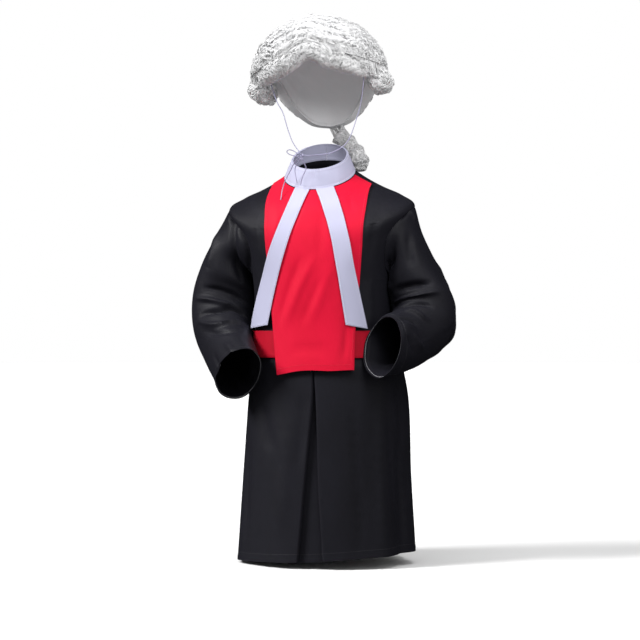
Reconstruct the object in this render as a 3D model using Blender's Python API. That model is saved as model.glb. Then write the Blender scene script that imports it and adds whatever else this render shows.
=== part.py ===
"""A child's judge costume, filled out as it is worn, with no wearer in it.

A black robe with an inverted front pleat and wide set-in sleeves, a red bib over a red sash,
a white stand collar with two long bands, and a white wig with a queue and chin ties.

Metres, +Z up. The front faces -Y and the wearer's left arm is on +X. The origin lies between
the two shoulder seams at the root of the neck, where the shoulders carry the robe.
"""

import math
from collections import namedtuple

import bmesh
import bpy
import numpy as np
from mathutils import Matrix, Vector

# Cloth and seams
CLOTH = 0.0015
SASH_CLOTH = 0.0010
BAND_CLOTH = 0.0012
COLLAR_CLOTH = 0.0028
SEAM_GAP = 0.0003
SEAM_ANGLE = 0.12
LAY_GAP = 0.0012

# The robe's outer face, a row for each section from the neckline to the hem.
# Each section is a rounded oval whose height differs at the side, centre front and centre back.
BodyRow = namedtuple("BodyRow", "z_side z_front z_back half_width front back x_mid square")
BODY = (
    BodyRow(0.002, -0.0255, 0.028, 0.056, 0.054, 0.050, 0.000, 2.0),
    BodyRow(-0.012, -0.040, 0.012, 0.080, 0.068, 0.062, 0.001, 2.0),
    BodyRow(-0.023, -0.056, -0.010, 0.105, 0.080, 0.073, 0.002, 2.1),
    BodyRow(-0.033, -0.075, -0.033, 0.130, 0.088, 0.082, 0.003, 2.1),
    BodyRow(-0.050, -0.096, -0.062, 0.1515, 0.094, 0.089, 0.0025, 2.2),
    BodyRow(-0.090, -0.126, -0.105, 0.132, 0.098, 0.093, 0.004, 2.3),
    BodyRow(-0.165, -0.172, -0.167, 0.112, 0.099, 0.094, 0.006, 2.3),
    BodyRow(-0.250, -0.250, -0.250, 0.113, 0.099, 0.093, 0.008, 2.3),
    BodyRow(-0.350, -0.350, -0.350, 0.128, 0.104, 0.098, 0.014, 2.2),
    BodyRow(-0.480, -0.480, -0.480, 0.134, 0.109, 0.106, 0.011, 2.1),
    BodyRow(-0.6055, -0.6055, -0.6065, 0.141, 0.114, 0.112, 0.010, 2.1),
)
SHOULDER_TIP_LEVEL = 4.0
UNDERARM_LEVEL = 6.0
HEM_LEVEL = 10.0
HEM_TILT = 0.0085

# Soft vertical folds: where each is at its foot, the levels it grows between, and its size.
Fold = namedtuple("Fold", "angle top_level foot_level depth spread")
FOLDS = (
    Fold(-66.0, 6.6, 10.0, 0.0040, 9.0),
    Fold(-40.0, 7.0, 10.0, -0.0030, 12.0),
    Fold(33.0, 7.0, 10.0, -0.0022, 9.0),
    Fold(52.0, 6.8, 10.0, 0.0045, 7.0),
    Fold(71.0, 6.6, 10.0, -0.0055, 6.0),
    Fold(88.0, 6.6, 10.0, 0.0055, 8.0),
    Fold(112.0, 6.4, 10.0, -0.0060, 8.0),
    Fold(134.0, 6.2, 10.0, 0.0080, 9.0),
    Fold(158.0, 6.4, 10.0, -0.0060, 9.0),
    Fold(203.0, 6.2, 10.0, 0.0075, 9.0),
    Fold(228.0, 6.4, 10.0, -0.0065, 9.0),
    Fold(252.0, 6.4, 10.0, 0.0060, 8.0),
)

# The armhole, an oval on the robe's outer face centred on the side.
ARMHOLE_STEPS = 10
ARMHOLE_FRONT = {-1: 38.0, 1: 30.0}
ARMHOLE_BACK = 36.0
ARMHOLE_EASE = 0.992

# The inverted pleat at centre front, a row for each level it is set out at.
PleatRow = namedtuple("PleatRow", "level half_gap reach depth")
PLEAT = (
    PleatRow(2.0, 0.0060, 0.0100, 0.0000),
    PleatRow(3.5, 0.0030, 0.0085, 0.0032),
    PleatRow(4.5, 0.0012, 0.0100, 0.0033),
    PleatRow(7.6, 0.0012, 0.0240, 0.0034),
    PleatRow(8.5, 0.0070, 0.0300, 0.0036),
    PleatRow(10.0, 0.0205, 0.0370, 0.0040),
)
PLEAT_TURN = 0.0016
UNDERLAY_DROP = 0.0012

# The bib and the sash under it. Edges are measured along X.
BibRow = namedtuple("BibRow", "level left right lift")
BIB = (
    BibRow(0.00, -0.0700, 0.0750, 0.0009),
    BibRow(0.85, -0.0754, 0.0830, 0.0012),
    BibRow(1.90, -0.0745, 0.0872, 0.0013),
    BibRow(3.00, -0.0716, 0.0882, 0.0009),
    BibRow(5.00, -0.0663, 0.0858, 0.0011),
    BibRow(6.30, -0.0583, 0.0790, 0.0026),
    BibRow(7.00, -0.0518, 0.0745, 0.0040),
    BibRow(7.62, -0.0436, 0.0742, 0.0065),
)
SASH_TOP = -0.247
SASH_FOOT = -0.289

# The bands: how far out each one's middle hangs, and half its width along X.
BandRow = namedtuple("BandRow", "z right left half_right half_left")
BANDS = (
    BandRow(-0.0262, 0.0158, 0.0194, 0.0122, 0.0130),
    BandRow(-0.0560, 0.0232, 0.0359, 0.0120, 0.0134),
    BandRow(-0.1000, 0.0381, 0.0518, 0.0123, 0.0132),
    BandRow(-0.1500, 0.0535, 0.0606, 0.0142, 0.0131),
    BandRow(-0.2000, 0.0683, 0.0686, 0.0164, 0.0137),
    BandRow(-0.2410, 0.0785, 0.0754, 0.0178, 0.0143),
)

# The stand collar's top edge, a tilted oval.
COLLAR_TOP_WIDE = 0.0447
COLLAR_TOP_FRONT = 0.0460
COLLAR_TOP_BACK = 0.0450
COLLAR_TOP_MID = 0.0337
COLLAR_TOP_TILT = 0.0242
COLLAR_STACK = 0.0030
COLLAR_BOW = 0.0006
COLLAR_SEAM = 0.0005

# Sleeve sections from just past the armhole to the cuff. yaw turns the arm inwards, bend swings
# it from hanging (0) to forward (90), and lean tips the section down towards the body. across is
# its reach away from the body, and inner its reach towards it.
SleeveRow = namedtuple("SleeveRow", "x y z yaw bend lean across deep inner")
SLEEVE_RIGHT = (
    SleeveRow(-0.145, 0.002, -0.122, 0.0, 2.0, 42.0, 0.0385, 0.050, 0.041),
    SleeveRow(-0.1575, 0.003, -0.160, 0.0, 10.0, 24.0, 0.044, 0.052, 0.060),
    SleeveRow(-0.166, 0.003, -0.200, 4.0, 30.0, 8.0, 0.047, 0.055, 0.064),
    SleeveRow(-0.1585, -0.014, -0.244, 12.0, 52.0, 4.0, 0.049, 0.054, 0.056),
    SleeveRow(-0.138, -0.050, -0.277, 22.0, 60.0, 6.0, 0.042, 0.052, 0.042),
    SleeveRow(-0.117, -0.088, -0.300, 32.0, 58.0, 12.0, 0.038, 0.052, 0.036),
    SleeveRow(-0.102, -0.114, -0.315, 40.0, 46.0, 20.0, 0.037, 0.055, 0.031),
)
SLEEVE_LEFT = (
    SleeveRow(0.1405, 0.002, -0.122, 0.0, 2.0, -45.0, 0.0385, 0.050, 0.040),
    SleeveRow(0.1535, 0.004, -0.165, 0.0, 8.0, -20.0, 0.042, 0.052, 0.054),
    SleeveRow(0.1685, 0.003, -0.206, -4.0, 28.0, -6.0, 0.050, 0.055, 0.058),
    SleeveRow(0.1675, -0.013, -0.239, -14.0, 52.0, -2.0, 0.050, 0.052, 0.052),
    SleeveRow(0.150, -0.047, -0.257, -28.0, 68.0, 0.0, 0.042, 0.047, 0.042),
    SleeveRow(0.136, -0.083, -0.266, -36.0, 86.0, 0.0, 0.038, 0.047, 0.041),
    SleeveRow(0.125, -0.106, -0.272, -34.0, 103.0, 0.0, 0.036, 0.048, 0.043),
)
SLEEVE_ROUND = 2 * ARMHOLE_STEPS
SLEEVE_RINGS = 19
SLEEVE_CLEAR = 0.0035
UNDERARM_TOP = -0.140

# The wig, set out straight and then turned and tipped with the head.
WIG_TURN = 3.0
WIG_TIP = -4.0
WIG_CENTRE = Vector((0.0, 0.0, 0.170))
WIG_SHIFT = Vector((-0.002, 0.004, 0.0))
WIG_TOP = 0.257
WIG_HOLLOW_TOP = 0.238
WIG_FULL = 0.96
WIG_ROUND = 48
WIG_TIERS = 9
HOLLOW_TIERS = 6
RimRow = namedtuple("RimRow", "angle z outer inner tuck")
WIG_RIM = (
    RimRow(0.0, 0.206, 0.107, 0.088, 0.00),
    RimRow(10.0, 0.200, 0.107, 0.087, 0.00),
    RimRow(20.0, 0.190, 0.106, 0.086, 0.00),
    RimRow(35.0, 0.182, 0.105, 0.084, 0.00),
    RimRow(55.0, 0.175, 0.104, 0.081, 0.00),
    RimRow(75.0, 0.167, 0.1045, 0.080, 0.00),
    RimRow(95.0, 0.164, 0.1045, 0.080, 0.00),
    RimRow(118.0, 0.1645, 0.108, 0.083, 0.00),
    RimRow(138.0, 0.124, 0.113, 0.089, 0.10),
    RimRow(158.0, 0.097, 0.116, 0.095, 0.20),
    RimRow(180.0, 0.089, 0.117, 0.098, 0.22),
)
WAVE_DEPTH = 0.0019
WAVES_ROUND = 13
WAVES_UP = 2.5
ROLL_RADIUS = 0.0135
ROLL_GAP = 0.0010
ROLL_HALF_ANGLE = 60.0
ROLL_STEPS = 22
SIDE_ROLL_RADIUS = 0.0168
SIDE_ROLL_X = 0.0960
SIDE_ROLL_FRONT = -0.019
SIDE_ROLL_BACK = 0.035
SIDE_ROLL_Z = 0.1472
QueueRow = namedtuple("QueueRow", "x y z radius")
QUEUE = (
    QueueRow(0.008, 0.086, 0.0773, 0.0125),
    QueueRow(0.017, 0.087, 0.0670, 0.0130),
    QueueRow(0.027, 0.085, 0.0560, 0.0130),
    QueueRow(0.036, 0.080, 0.0430, 0.0130),
    QueueRow(0.042, 0.075, 0.0310, 0.0145),
    QueueRow(0.043, 0.073, 0.0200, 0.0130),
    QueueRow(0.042, 0.072, 0.0110, 0.0070),
)

# The chin ties: thin cord from under the crown's rim to a knot in front of the collar.
TIE_RADIUS = 0.0008
KNOT = Vector((-0.0130, -0.0720, 0.0290))
KNOT_RADIUS = 0.0036
STRAP_ANGLE = 70.0
STRAP_REACH = 0.0838
STRAP_GAP = 0.0007
KNOT_GAP = 0.0005
TieRow = namedtuple("TieRow", "name steps route")
STRAP_RIGHT = (
    (-0.0620, -0.0400, 0.1200),
    (-0.0500, -0.0460, 0.1000),
    (-0.0410, -0.0540, 0.0760),
    (-0.0300, -0.0640, 0.0520),
    (-0.0175, -0.0715, 0.0355),
)
STRAP_LEFT = (
    (0.0765, -0.0400, 0.1190),
    (0.0700, -0.0480, 0.0870),
    (0.0570, -0.0570, 0.0500),
    (0.0340, -0.0670, 0.0330),
    (0.0050, -0.0720, 0.0290),
)
END_A = (
    (-0.0162, -0.0722, 0.0218),
    (-0.0240, -0.0640, 0.0140),
    (-0.0265, -0.0610, 0.0050),
    (-0.0226, -0.0630, -0.0137),
)
END_B = (
    (-0.0185, -0.0710, 0.0252),
    (-0.0265, -0.0630, 0.0195),
    (-0.0355, -0.0570, 0.0059),
    (-0.0435, -0.0560, -0.0087),
    (-0.0480, -0.0580, -0.0240),
    (-0.0484, -0.0660, -0.0400),
)
END_C = (
    (-0.0120, -0.0725, 0.0230),
    (-0.0085, -0.0690, 0.0150),
    (-0.0073, -0.0665, 0.0080),
    (-0.0131, -0.0640, -0.0030),
    (-0.0168, -0.0640, -0.0171),
)
STRAPS = (TieRow("chin_tie_right", 14, STRAP_RIGHT), TieRow("chin_tie_left", 18, STRAP_LEFT))
FREE_ENDS = (TieRow("tie_end_a", 9, END_A), TieRow("tie_end_b", 12, END_B), TieRow("tie_end_c", 9, END_C))
LOOP = (
    (-0.0195, -0.0720, 0.0323),
    (-0.0270, -0.0715, 0.0368),
    (-0.0340, -0.0705, 0.0385),
    (-0.0375, -0.0700, 0.0352),
    (-0.0330, -0.0700, 0.0312),
    (-0.0260, -0.0710, 0.0290),
    (-0.0200, -0.0718, 0.0280),
)
LOOP_STEPS = 18

BLACK = ((0.012, 0.012, 0.015), 0.62)
RED = ((0.80, 0.012, 0.045), 0.66)
WHITE = ((0.80, 0.80, 0.90), 0.70)
HAIR = ((0.72, 0.72, 0.73), 0.45)
RIBBON = ((0.76, 0.75, 0.86), 0.40)


def clear_scene():
    for obj in list(bpy.data.objects):
        bpy.data.objects.remove(obj)


def material(name, finish):
    colour, roughness = finish
    made = bpy.data.materials.new(name)
    made.use_nodes = True
    shader = made.node_tree.nodes["Principled BSDF"]
    shader.inputs["Base Color"].default_value = (*colour, 1.0)
    shader.inputs["Roughness"].default_value = roughness
    shader.inputs["Metallic"].default_value = 0.0
    return made


def spline(rows, at):
    """A smooth curve through the rows of a table, read at a fractional row number."""
    rows = np.asarray(rows, float)
    last = len(rows) - 1
    i = max(0, min(int(at), last - 1))
    t = at - i
    p1, p2 = rows[i], rows[i + 1]
    p0 = rows[i - 1] if i > 0 else 2 * p1 - p2
    p3 = rows[i + 2] if i + 2 <= last else 2 * p2 - p1
    return p1 + 0.5 * t * (p2 - p0 + t * (2 * p0 - 5 * p1 + 4 * p2 - p3 + t * (3 * (p1 - p2) + p3 - p0)))


def keyed(table, at):
    """A row of a table whose first column is the key, read smoothly at a value of that key."""
    keys = [row[0] for row in table]
    at = min(max(at, keys[0]), keys[-1])
    i = min(max(sum(key <= at for key in keys) - 1, 0), len(keys) - 2)
    share = (at - keys[i]) / (keys[i + 1] - keys[i])
    return type(table[0])(*spline(table, i + share))


def ease(value):
    value = min(max(value, 0.0), 1.0)
    return value * value * (3 - 2 * value)


def fold_out(angle, level):
    """How far the folds carry the robe's face outwards."""
    total = 0.0
    for fold in FOLDS:
        away = (angle - fold.angle + 180.0) % 360.0 - 180.0
        grown = ease((level - fold.top_level) / (fold.foot_level - fold.top_level))
        total += fold.depth * grown * math.exp(-((away / fold.spread) ** 2))
    return total


def body(angle, level):
    """The robe's outer face: degrees round from centre front towards +X, and a fractional BODY row."""
    row = BodyRow(*spline(BODY, level))
    sin, cos = math.sin(math.radians(angle)), math.cos(math.radians(angle))
    depth = row.front if cos > 0 else row.back
    bend = 2 / row.square
    x = row.x_mid + row.half_width * math.copysign(abs(sin) ** bend, sin)
    y = -depth * math.copysign(abs(cos) ** bend, cos)
    half_fall = (row.z_back - row.z_front) / 2
    mean = (row.z_back + row.z_front) / 2
    z = row.z_side - half_fall * cos + (mean - row.z_side) * cos * cos
    z += HEM_TILT * sin * ease((level - 8.0) / 2.0)
    out = fold_out(angle, level)
    return Vector((x + out * sin, y - out * cos, z))


def body_frame(angle, level):
    """The unit normal out of the robe's face, and the unit direction up it."""
    across = body(angle + 1.0, level) - body(angle - 1.0, level)
    down = body(angle, level + 0.04) - body(angle, level - 0.04)
    return down.cross(across).normalized(), -down.normalized()


def angle_at_x(x, level):
    """The front angle whose point has this X."""
    row = BodyRow(*spline(BODY, level))
    share = min(max((x - row.x_mid) / row.half_width, -1.0), 1.0)
    sine = abs(share) ** (row.square / 2)
    return math.copysign(math.degrees(math.asin(min(sine, 1.0))), share)


def level_at_z(z):
    """The level whose centre-front point has this height."""
    low, high = 0.0, HEM_LEVEL
    for _ in range(40):
        middle = (low + high) / 2
        if BodyRow(*spline(BODY, middle)).z_front > z:
            low = middle
        else:
            high = middle
    return (low + high) / 2


def new_object(name, mesh, finish):
    obj = bpy.data.objects.new(name, mesh)
    bpy.context.scene.collection.objects.link(obj)
    mesh.materials.append(finish)
    mesh.shade_smooth()
    return obj


def wall(name, face, back, finish, ring=False):
    """A closed sheet between two grids of points, rows by columns. A ring's last column meets its first."""
    rows, columns = len(face), len(face[0])
    shell = bmesh.new()
    grids = [[[shell.verts.new(point) for point in row] for row in grid] for grid in (face, back)]
    spans = [(c, (c + 1) % columns) for c in range(columns if ring else columns - 1)]
    for r in range(rows - 1):
        for c, d in spans:
            for grid in grids:
                shell.faces.new((grid[r][c], grid[r][d], grid[r + 1][d], grid[r + 1][c]))
    front, rear = grids
    for r in (0, rows - 1):
        for c, d in spans:
            shell.faces.new((front[r][c], front[r][d], rear[r][d], rear[r][c]))
    if not ring:
        for c in (0, columns - 1):
            for r in range(rows - 1):
                shell.faces.new((front[r][c], front[r + 1][c], rear[r + 1][c], rear[r][c]))
    bmesh.ops.recalc_face_normals(shell, faces=shell.faces)
    mesh = bpy.data.meshes.new(name)
    shell.to_mesh(mesh)
    shell.free()
    return new_object(name, mesh, finish)


def closed_rings(name, rings, first_pole, last_pole, finish):
    """A closed solid through rings of points, closed by a point at each end."""
    solid = bmesh.new()
    loops = [[solid.verts.new(point) for point in ring] for ring in rings]
    count = len(rings[0])
    for above, below in zip(loops, loops[1:]):
        for i in range(count):
            j = (i + 1) % count
            solid.faces.new((above[i], above[j], below[j], below[i]))
    for pole, loop in ((first_pole, loops[0]), (last_pole, loops[-1])):
        tip = solid.verts.new(pole)
        for i in range(count):
            solid.faces.new((tip, loop[i], loop[(i + 1) % count]))
    bmesh.ops.recalc_face_normals(solid, faces=solid.faces)
    mesh = bpy.data.meshes.new(name)
    solid.to_mesh(mesh)
    solid.free()
    return new_object(name, mesh, finish)


def row_marks():
    """(level, armhole share) for each row of the robe's panels. The share is 0 outside the armhole."""
    above = [(level, 0.0) for level in (0.0, 0.7, 1.4, 2.2, 3.0, 3.6)]
    beside = []
    for step in range(ARMHOLE_STEPS + 1):
        turn = math.pi * step / ARMHOLE_STEPS
        half = (UNDERARM_LEVEL - SHOULDER_TIP_LEVEL) / 2
        beside.append((SHOULDER_TIP_LEVEL + half * (1 - math.cos(turn)), math.sin(turn)))
    below = [(level, 0.0) for level in (6.4, 6.9, 7.4, 7.8, 8.3, 8.8, 9.4, 10.0)]
    return above + beside + below


def pleat_path(row):
    """Half of the pleat's section as (sideways, depth) pairs, from the visible layer to the middle."""
    gap, reach, layer, turn = row.half_gap, row.reach, row.depth, PLEAT_TURN
    top = CLOTH / 2
    folded = min(1.0, layer / 0.0030)
    edge = gap + turn
    inner = reach - turn
    return [
        (edge + 0.004, top),
        (edge, top),
        (gap, top + layer / 2),
        (edge * folded + (gap - 0.001) * (1 - folded), top + layer),
        (inner * folded + (gap - 0.002) * (1 - folded), top + layer),
        (reach * folded + (gap - 0.003) * (1 - folded), top + 1.5 * layer),
        (inner * folded + (gap - 0.004) * (1 - folded), top + 2 * layer),
        (0.0, top + 2 * layer + 0.0008 * folded),
    ]


def faced(path, thickness):
    """Both faces of a sheet whose middle follows a path of (sideways, depth) pairs."""
    points = np.array(path)
    along = np.gradient(points, axis=0)
    along /= np.linalg.norm(along, axis=1)[:, None]
    out = np.stack([-along[:, 1], along[:, 0]], axis=1)
    return points + out * thickness / 2, points - out * thickness / 2


def robe_front(finish):
    """The front, one piece with an inverted pleat at the middle."""
    outer_columns = 9
    face, back = [], []
    for level, armhole in row_marks():
        row = keyed(PLEAT, level)
        half = pleat_path(row)
        path = half + [(-x, depth) for x, depth in half[-2::-1]]
        middle = spline(BODY, level)[BodyRow._fields.index("x_mid")]
        face_path, back_path = faced(path, CLOTH)
        drop = UNDERLAY_DROP * ease((level - 8.0) / 2.0)

        def pleat_points(points):
            made = []
            for x, depth in points:
                angle = angle_at_x(middle + x, level)
                normal, _ = body_frame(angle, level)
                under = ease((depth - CLOTH) / row.depth) if row.depth > CLOTH else 0.0
                made.append(body(angle, level) - normal * depth - Vector((0, 0, drop * under)))
            return made

        def side_points(sign):
            made = []
            start = angle_at_x(middle + sign * half[0][0], level)
            end = 90.0 - ARMHOLE_FRONT[sign] * armhole - SEAM_ANGLE
            for i in range(outer_columns):
                angle = start + (sign * end - start) * (i + 1) / outer_columns
                normal, _ = body_frame(angle, level)
                point = body(angle, level)
                made.append((point, point - normal * CLOTH))
            return made

        left, right = side_points(-1), side_points(1)
        face.append([p for p, _ in right[::-1]] + pleat_points(face_path) + [p for p, _ in left])
        back.append([q for _, q in right[::-1]] + pleat_points(back_path) + [q for _, q in left])
    return wall("robe_front", face, back, finish)


def robe_back(name, sign, finish):
    """One half of the back, from its side seam to the centre-back seam."""
    columns = 13
    face, back = [], []
    for level, armhole in row_marks():
        start = 90.0 + ARMHOLE_BACK * armhole + SEAM_ANGLE
        end = 180.0 - SEAM_ANGLE
        row, under = [], []
        for i in range(columns):
            angle = sign * (start + (end - start) * i / (columns - 1))
            normal, _ = body_frame(angle, level)
            point = body(angle, level)
            row.append(point)
            under.append(point - normal * CLOTH)
        face.append(row)
        back.append(under)
    return wall(name, face, back, finish)


def armhole_ring(sign):
    """The sleeve's first ring: (point, normal) pairs round the armhole, from +X through the front."""
    ring = []
    centre = (SHOULDER_TIP_LEVEL + UNDERARM_LEVEL) / 2
    half = (UNDERARM_LEVEL - SHOULDER_TIP_LEVEL) / 2
    for step in range(SLEEVE_ROUND):
        turn = 2 * math.pi * step / SLEEVE_ROUND
        level = centre - sign * half * ARMHOLE_EASE * math.cos(turn)
        reach = math.sin(turn) * ARMHOLE_EASE
        angle = 90.0 - (ARMHOLE_FRONT[sign] if reach > 0 else ARMHOLE_BACK) * reach
        normal, _ = body_frame(sign * angle, level)
        ring.append((body(sign * angle, level), normal))
    return ring


def sleeve_section(row, sign):
    """A ring of points round one section, starting at +X and going through the front."""
    yaw, bend, lean = (math.radians(value) for value in (row.yaw, row.bend, row.lean))
    sideways = Vector((math.cos(yaw), math.sin(yaw), 0.0))
    forward = Vector((math.sin(yaw), -math.cos(yaw), 0.0))
    up = Vector((0.0, 0.0, 1.0))
    down_arm = math.sin(bend) * forward - math.cos(bend) * up
    upper = math.cos(bend) * forward + math.sin(bend) * up
    across = math.cos(lean) * sideways + math.sin(lean) * down_arm
    centre = Vector((row.x, row.y, row.z))
    ring = []
    for step in range(SLEEVE_ROUND):
        turn = 2 * math.pi * step / SLEEVE_ROUND
        wide = row.across if math.cos(turn) * sign > 0 else row.inner
        ring.append(centre + wide * math.cos(turn) * across + row.deep * math.sin(turn) * upper)
    return ring


def pressed_clear(point):
    """The point moved out of the robe's body, where a sleeve would lie in it."""
    if point.z > UNDERARM_TOP:
        return point
    clear = SLEEVE_CLEAR * ease((UNDERARM_TOP - point.z) / 0.03)
    low, high = UNDERARM_LEVEL - 1.0, HEM_LEVEL
    for _ in range(30):
        middle = (low + high) / 2
        if BodyRow(*spline(BODY, middle)).z_side > point.z:
            low = middle
        else:
            high = middle
    row = BodyRow(*spline(BODY, low))
    depth = (row.front if point.y < 0 else row.back) + clear
    x = point.x - row.x_mid
    inside = (abs(x) / (row.half_width + clear)) ** row.square + (abs(point.y) / depth) ** row.square
    if inside >= 1:
        return point
    grow = inside ** (-1 / row.square)
    return Vector((row.x_mid + x * grow, point.y * grow, point.z))


def sleeve(name, sign, rows, finish):
    """A sleeve from its armhole to its open cuff."""
    start = armhole_ring(sign)
    keys = [[tuple(point) for point, _ in start]]
    keys += [[tuple(point) for point in sleeve_section(row, sign)] for row in rows]
    face = []
    for i in range(SLEEVE_RINGS):
        at = (len(keys) - 1) * i / (SLEEVE_RINGS - 1)
        ring = [Vector(point) for point in spline(keys, at)]
        face.append([pressed_clear(point) if i else point for point in ring])
    back = []
    for i, ring in enumerate(face):
        before, after = face[max(i - 1, 0)], face[min(i + 1, SLEEVE_RINGS - 1)]
        under = []
        for j, point in enumerate(ring):
            around = ring[(j + 1) % SLEEVE_ROUND] - ring[j - 1]
            along = after[j] - before[j]
            normal = around.cross(along).normalized()
            if normal.dot(point - sum(ring, Vector()) / SLEEVE_ROUND) < 0:
                normal.negate()
            if i == 0:
                normal = start[j][1]
            under.append(point - normal * CLOTH)
        back.append(under)
    return wall(name, face, back, finish, ring=True)


def bib_edges(level):
    row = keyed(BIB, level)
    limit = 90.0 - SEAM_ANGLE * 3
    return max(angle_at_x(row.left, level), -limit), min(angle_at_x(row.right, level), limit)


def bib_lift(level):
    """How far the bib's back stands off the robe."""
    return keyed(BIB, min(level, BIB[-1].level)).lift


def bib(finish):
    columns = 13
    levels = (0.03, 0.55, 0.85, 1.15, 1.5, 1.9, 2.4, 3.0, 3.7, 4.4, 5.0, 5.6, 6.2, 6.7, 7.15, 7.62)
    face, back = [], []
    for level in levels:
        left, right = bib_edges(level)
        row, under = [], []
        for i in range(columns):
            angle = left + (right - left) * i / (columns - 1)
            normal, _ = body_frame(angle, level)
            point = body(angle, level)
            lift = bib_lift(level)
            row.append(point + normal * (lift + CLOTH))
            under.append(point + normal * lift)
        face.append(row)
        back.append(under)
    return wall("bib", face, back, finish)


def sash(finish):
    """A strip across the front under the bib, caught in the side seams."""
    columns = 25
    face, back = [], []
    for z in (SASH_TOP, (SASH_TOP + SASH_FOOT) / 2, SASH_FOOT):
        level = level_at_z(z)
        row, under = [], []
        for i in range(columns):
            angle = -86.0 + 172.0 * i / (columns - 1)
            normal, _ = body_frame(angle, level)
            point = body(angle, level)
            row.append(point + normal * (LAY_GAP + SASH_CLOTH))
            under.append(point + normal * LAY_GAP)
        face.append(row)
        back.append(under)
    return wall("sash", face, back, finish)


def band(name, sign, finish):
    """One band, from the collar's seam down over the bib."""
    rows, columns = 14, 4
    face, back = [], []
    for r in range(rows):
        place = BandRow(*spline(BANDS, (len(BANDS) - 1) * r / (rows - 1)))
        level = max(level_at_z(place.z), 0.0)
        middle, half_width = (place.left, place.half_left) if sign > 0 else (place.right, place.half_right)
        row, under = [], []
        for i in range(columns):
            offset = half_width * (2 * i / (columns - 1) - 1)
            angle = angle_at_x(sign * (middle + offset), level)
            normal, _ = body_frame(angle, level)
            point = body(angle, level)
            lift = bib_lift(level) + CLOTH + LAY_GAP
            row.append(point + normal * (lift + BAND_CLOTH))
            under.append(point + normal * lift)
        face.append(row)
        back.append(under)
    return wall(name, face, back, finish)


def collar(finish):
    """The stand collar, open at centre back, mitred onto the neckline."""
    columns, rows = 44, 4
    face, back = [[] for _ in range(rows)], [[] for _ in range(rows)]
    for i in range(columns):
        angle = -180.0 + 0.4 + 359.2 * i / (columns - 1)
        sin, cos = math.sin(math.radians(angle)), math.cos(math.radians(angle))
        normal, up = body_frame(angle, 0.0)
        seam = body(angle, 0.0) + up * COLLAR_SEAM
        foot_face = seam + normal * COLLAR_STACK
        foot_back = seam + normal * (COLLAR_STACK - COLLAR_CLOTH)
        depth = COLLAR_TOP_FRONT if cos > 0 else COLLAR_TOP_BACK
        top_face = Vector((COLLAR_TOP_WIDE * sin, -depth * cos, COLLAR_TOP_MID - COLLAR_TOP_TILT * cos))
        top_back = top_face - Vector((sin, -cos, 0.0)) * COLLAR_CLOTH
        for r in range(rows):
            share = r / (rows - 1)
            bow = Vector((sin, -cos, 0.0)) * COLLAR_BOW * math.sin(math.pi * share)
            face[r].append(foot_face.lerp(top_face, share) + bow)
            back[r].append(foot_back.lerp(top_back, share) + bow)
    return wall("collar", face, back, finish)


def wig_place(point):
    """A point of the straight wig, turned and tipped with the head."""
    tip = Matrix.Rotation(math.radians(WIG_TIP), 3, "Y")
    turn = Matrix.Rotation(math.radians(WIG_TURN), 3, "Z")
    return turn @ (tip @ (Vector(point) - WIG_CENTRE)) + WIG_CENTRE + WIG_SHIFT


def rim(angle):
    return keyed(WIG_RIM, abs((angle + 180.0) % 360.0 - 180.0))


def crown_point(angle, rise, outer):
    """A point of the crown: degrees round from the front, and 0 at the rim to 90 at the top."""
    row = rim(angle)
    radius, top = (row.outer, WIG_TOP) if outer else (row.inner, WIG_HOLLOW_TOP)
    sin, cos = math.sin(math.radians(rise)), math.cos(math.radians(rise))
    reach = radius * cos**WIG_FULL * (1 - row.tuck * (1 - sin) ** 2)
    z = row.z + (top - row.z) * sin
    if outer:
        swirl = WAVES_ROUND * math.radians(angle) + WAVES_UP * math.pi * sin * math.cos(math.radians(angle) * 3)
        reach += WAVE_DEPTH * math.sin(swirl) * cos * math.sin(math.radians(min(2.4 * rise, 90.0)))
    side = math.radians(angle)
    return wig_place((reach * math.sin(side), -reach * math.cos(side), z))


def wig_crown(finish):
    angles = [360.0 * i / WIG_ROUND for i in range(WIG_ROUND)]
    outer = [[crown_point(a, 88.0 * (1 - t / WIG_TIERS), True) for a in angles] for t in range(1, WIG_TIERS + 1)]
    inner = [[crown_point(a, 86.0 * t / HOLLOW_TIERS, False) for a in angles] for t in range(HOLLOW_TIERS)]
    top = wig_place((0.0, 0.0, WIG_TOP))
    hollow = wig_place((0.0, 0.0, WIG_HOLLOW_TOP))
    return closed_rings("wig_crown", outer + inner, top, hollow, finish)


def tube(name, path, radii, finish, sides=10, cap_rings=2):
    """A round-ended solid along a path, with a radius at each point."""
    rings = []
    path = [Vector(point) for point in path]
    last = len(path) - 1
    guide = Vector((0.0, 0.0, 1.0))
    for i, centre in enumerate(path):
        along = (path[min(i + 1, last)] - path[max(i - 1, 0)]).normalized()
        side = along.cross(guide).normalized()
        lift = side.cross(along)
        stations = [(0.0, 1.0)]
        caps = [math.radians(90.0 * (k + 1) / (cap_rings + 1)) for k in range(cap_rings)]
        if i == 0:
            stations = [(-math.sin(c), math.cos(c)) for c in reversed(caps)] + stations
        if i == last:
            stations = stations + [(math.sin(c), math.cos(c)) for c in caps]
        for shift, size in stations:
            ring = []
            for k in range(sides):
                turn = 2 * math.pi * k / sides
                spoke = math.cos(turn) * side + math.sin(turn) * lift
                ring.append(centre + along * shift * radii[i] + spoke * size * radii[i])
            rings.append(ring)
    first = (path[0] - path[1]).normalized() * radii[0] + path[0]
    final = (path[last] - path[last - 1]).normalized() * radii[last] + path[last]
    return closed_rings(name, rings, first, final, finish)


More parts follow.
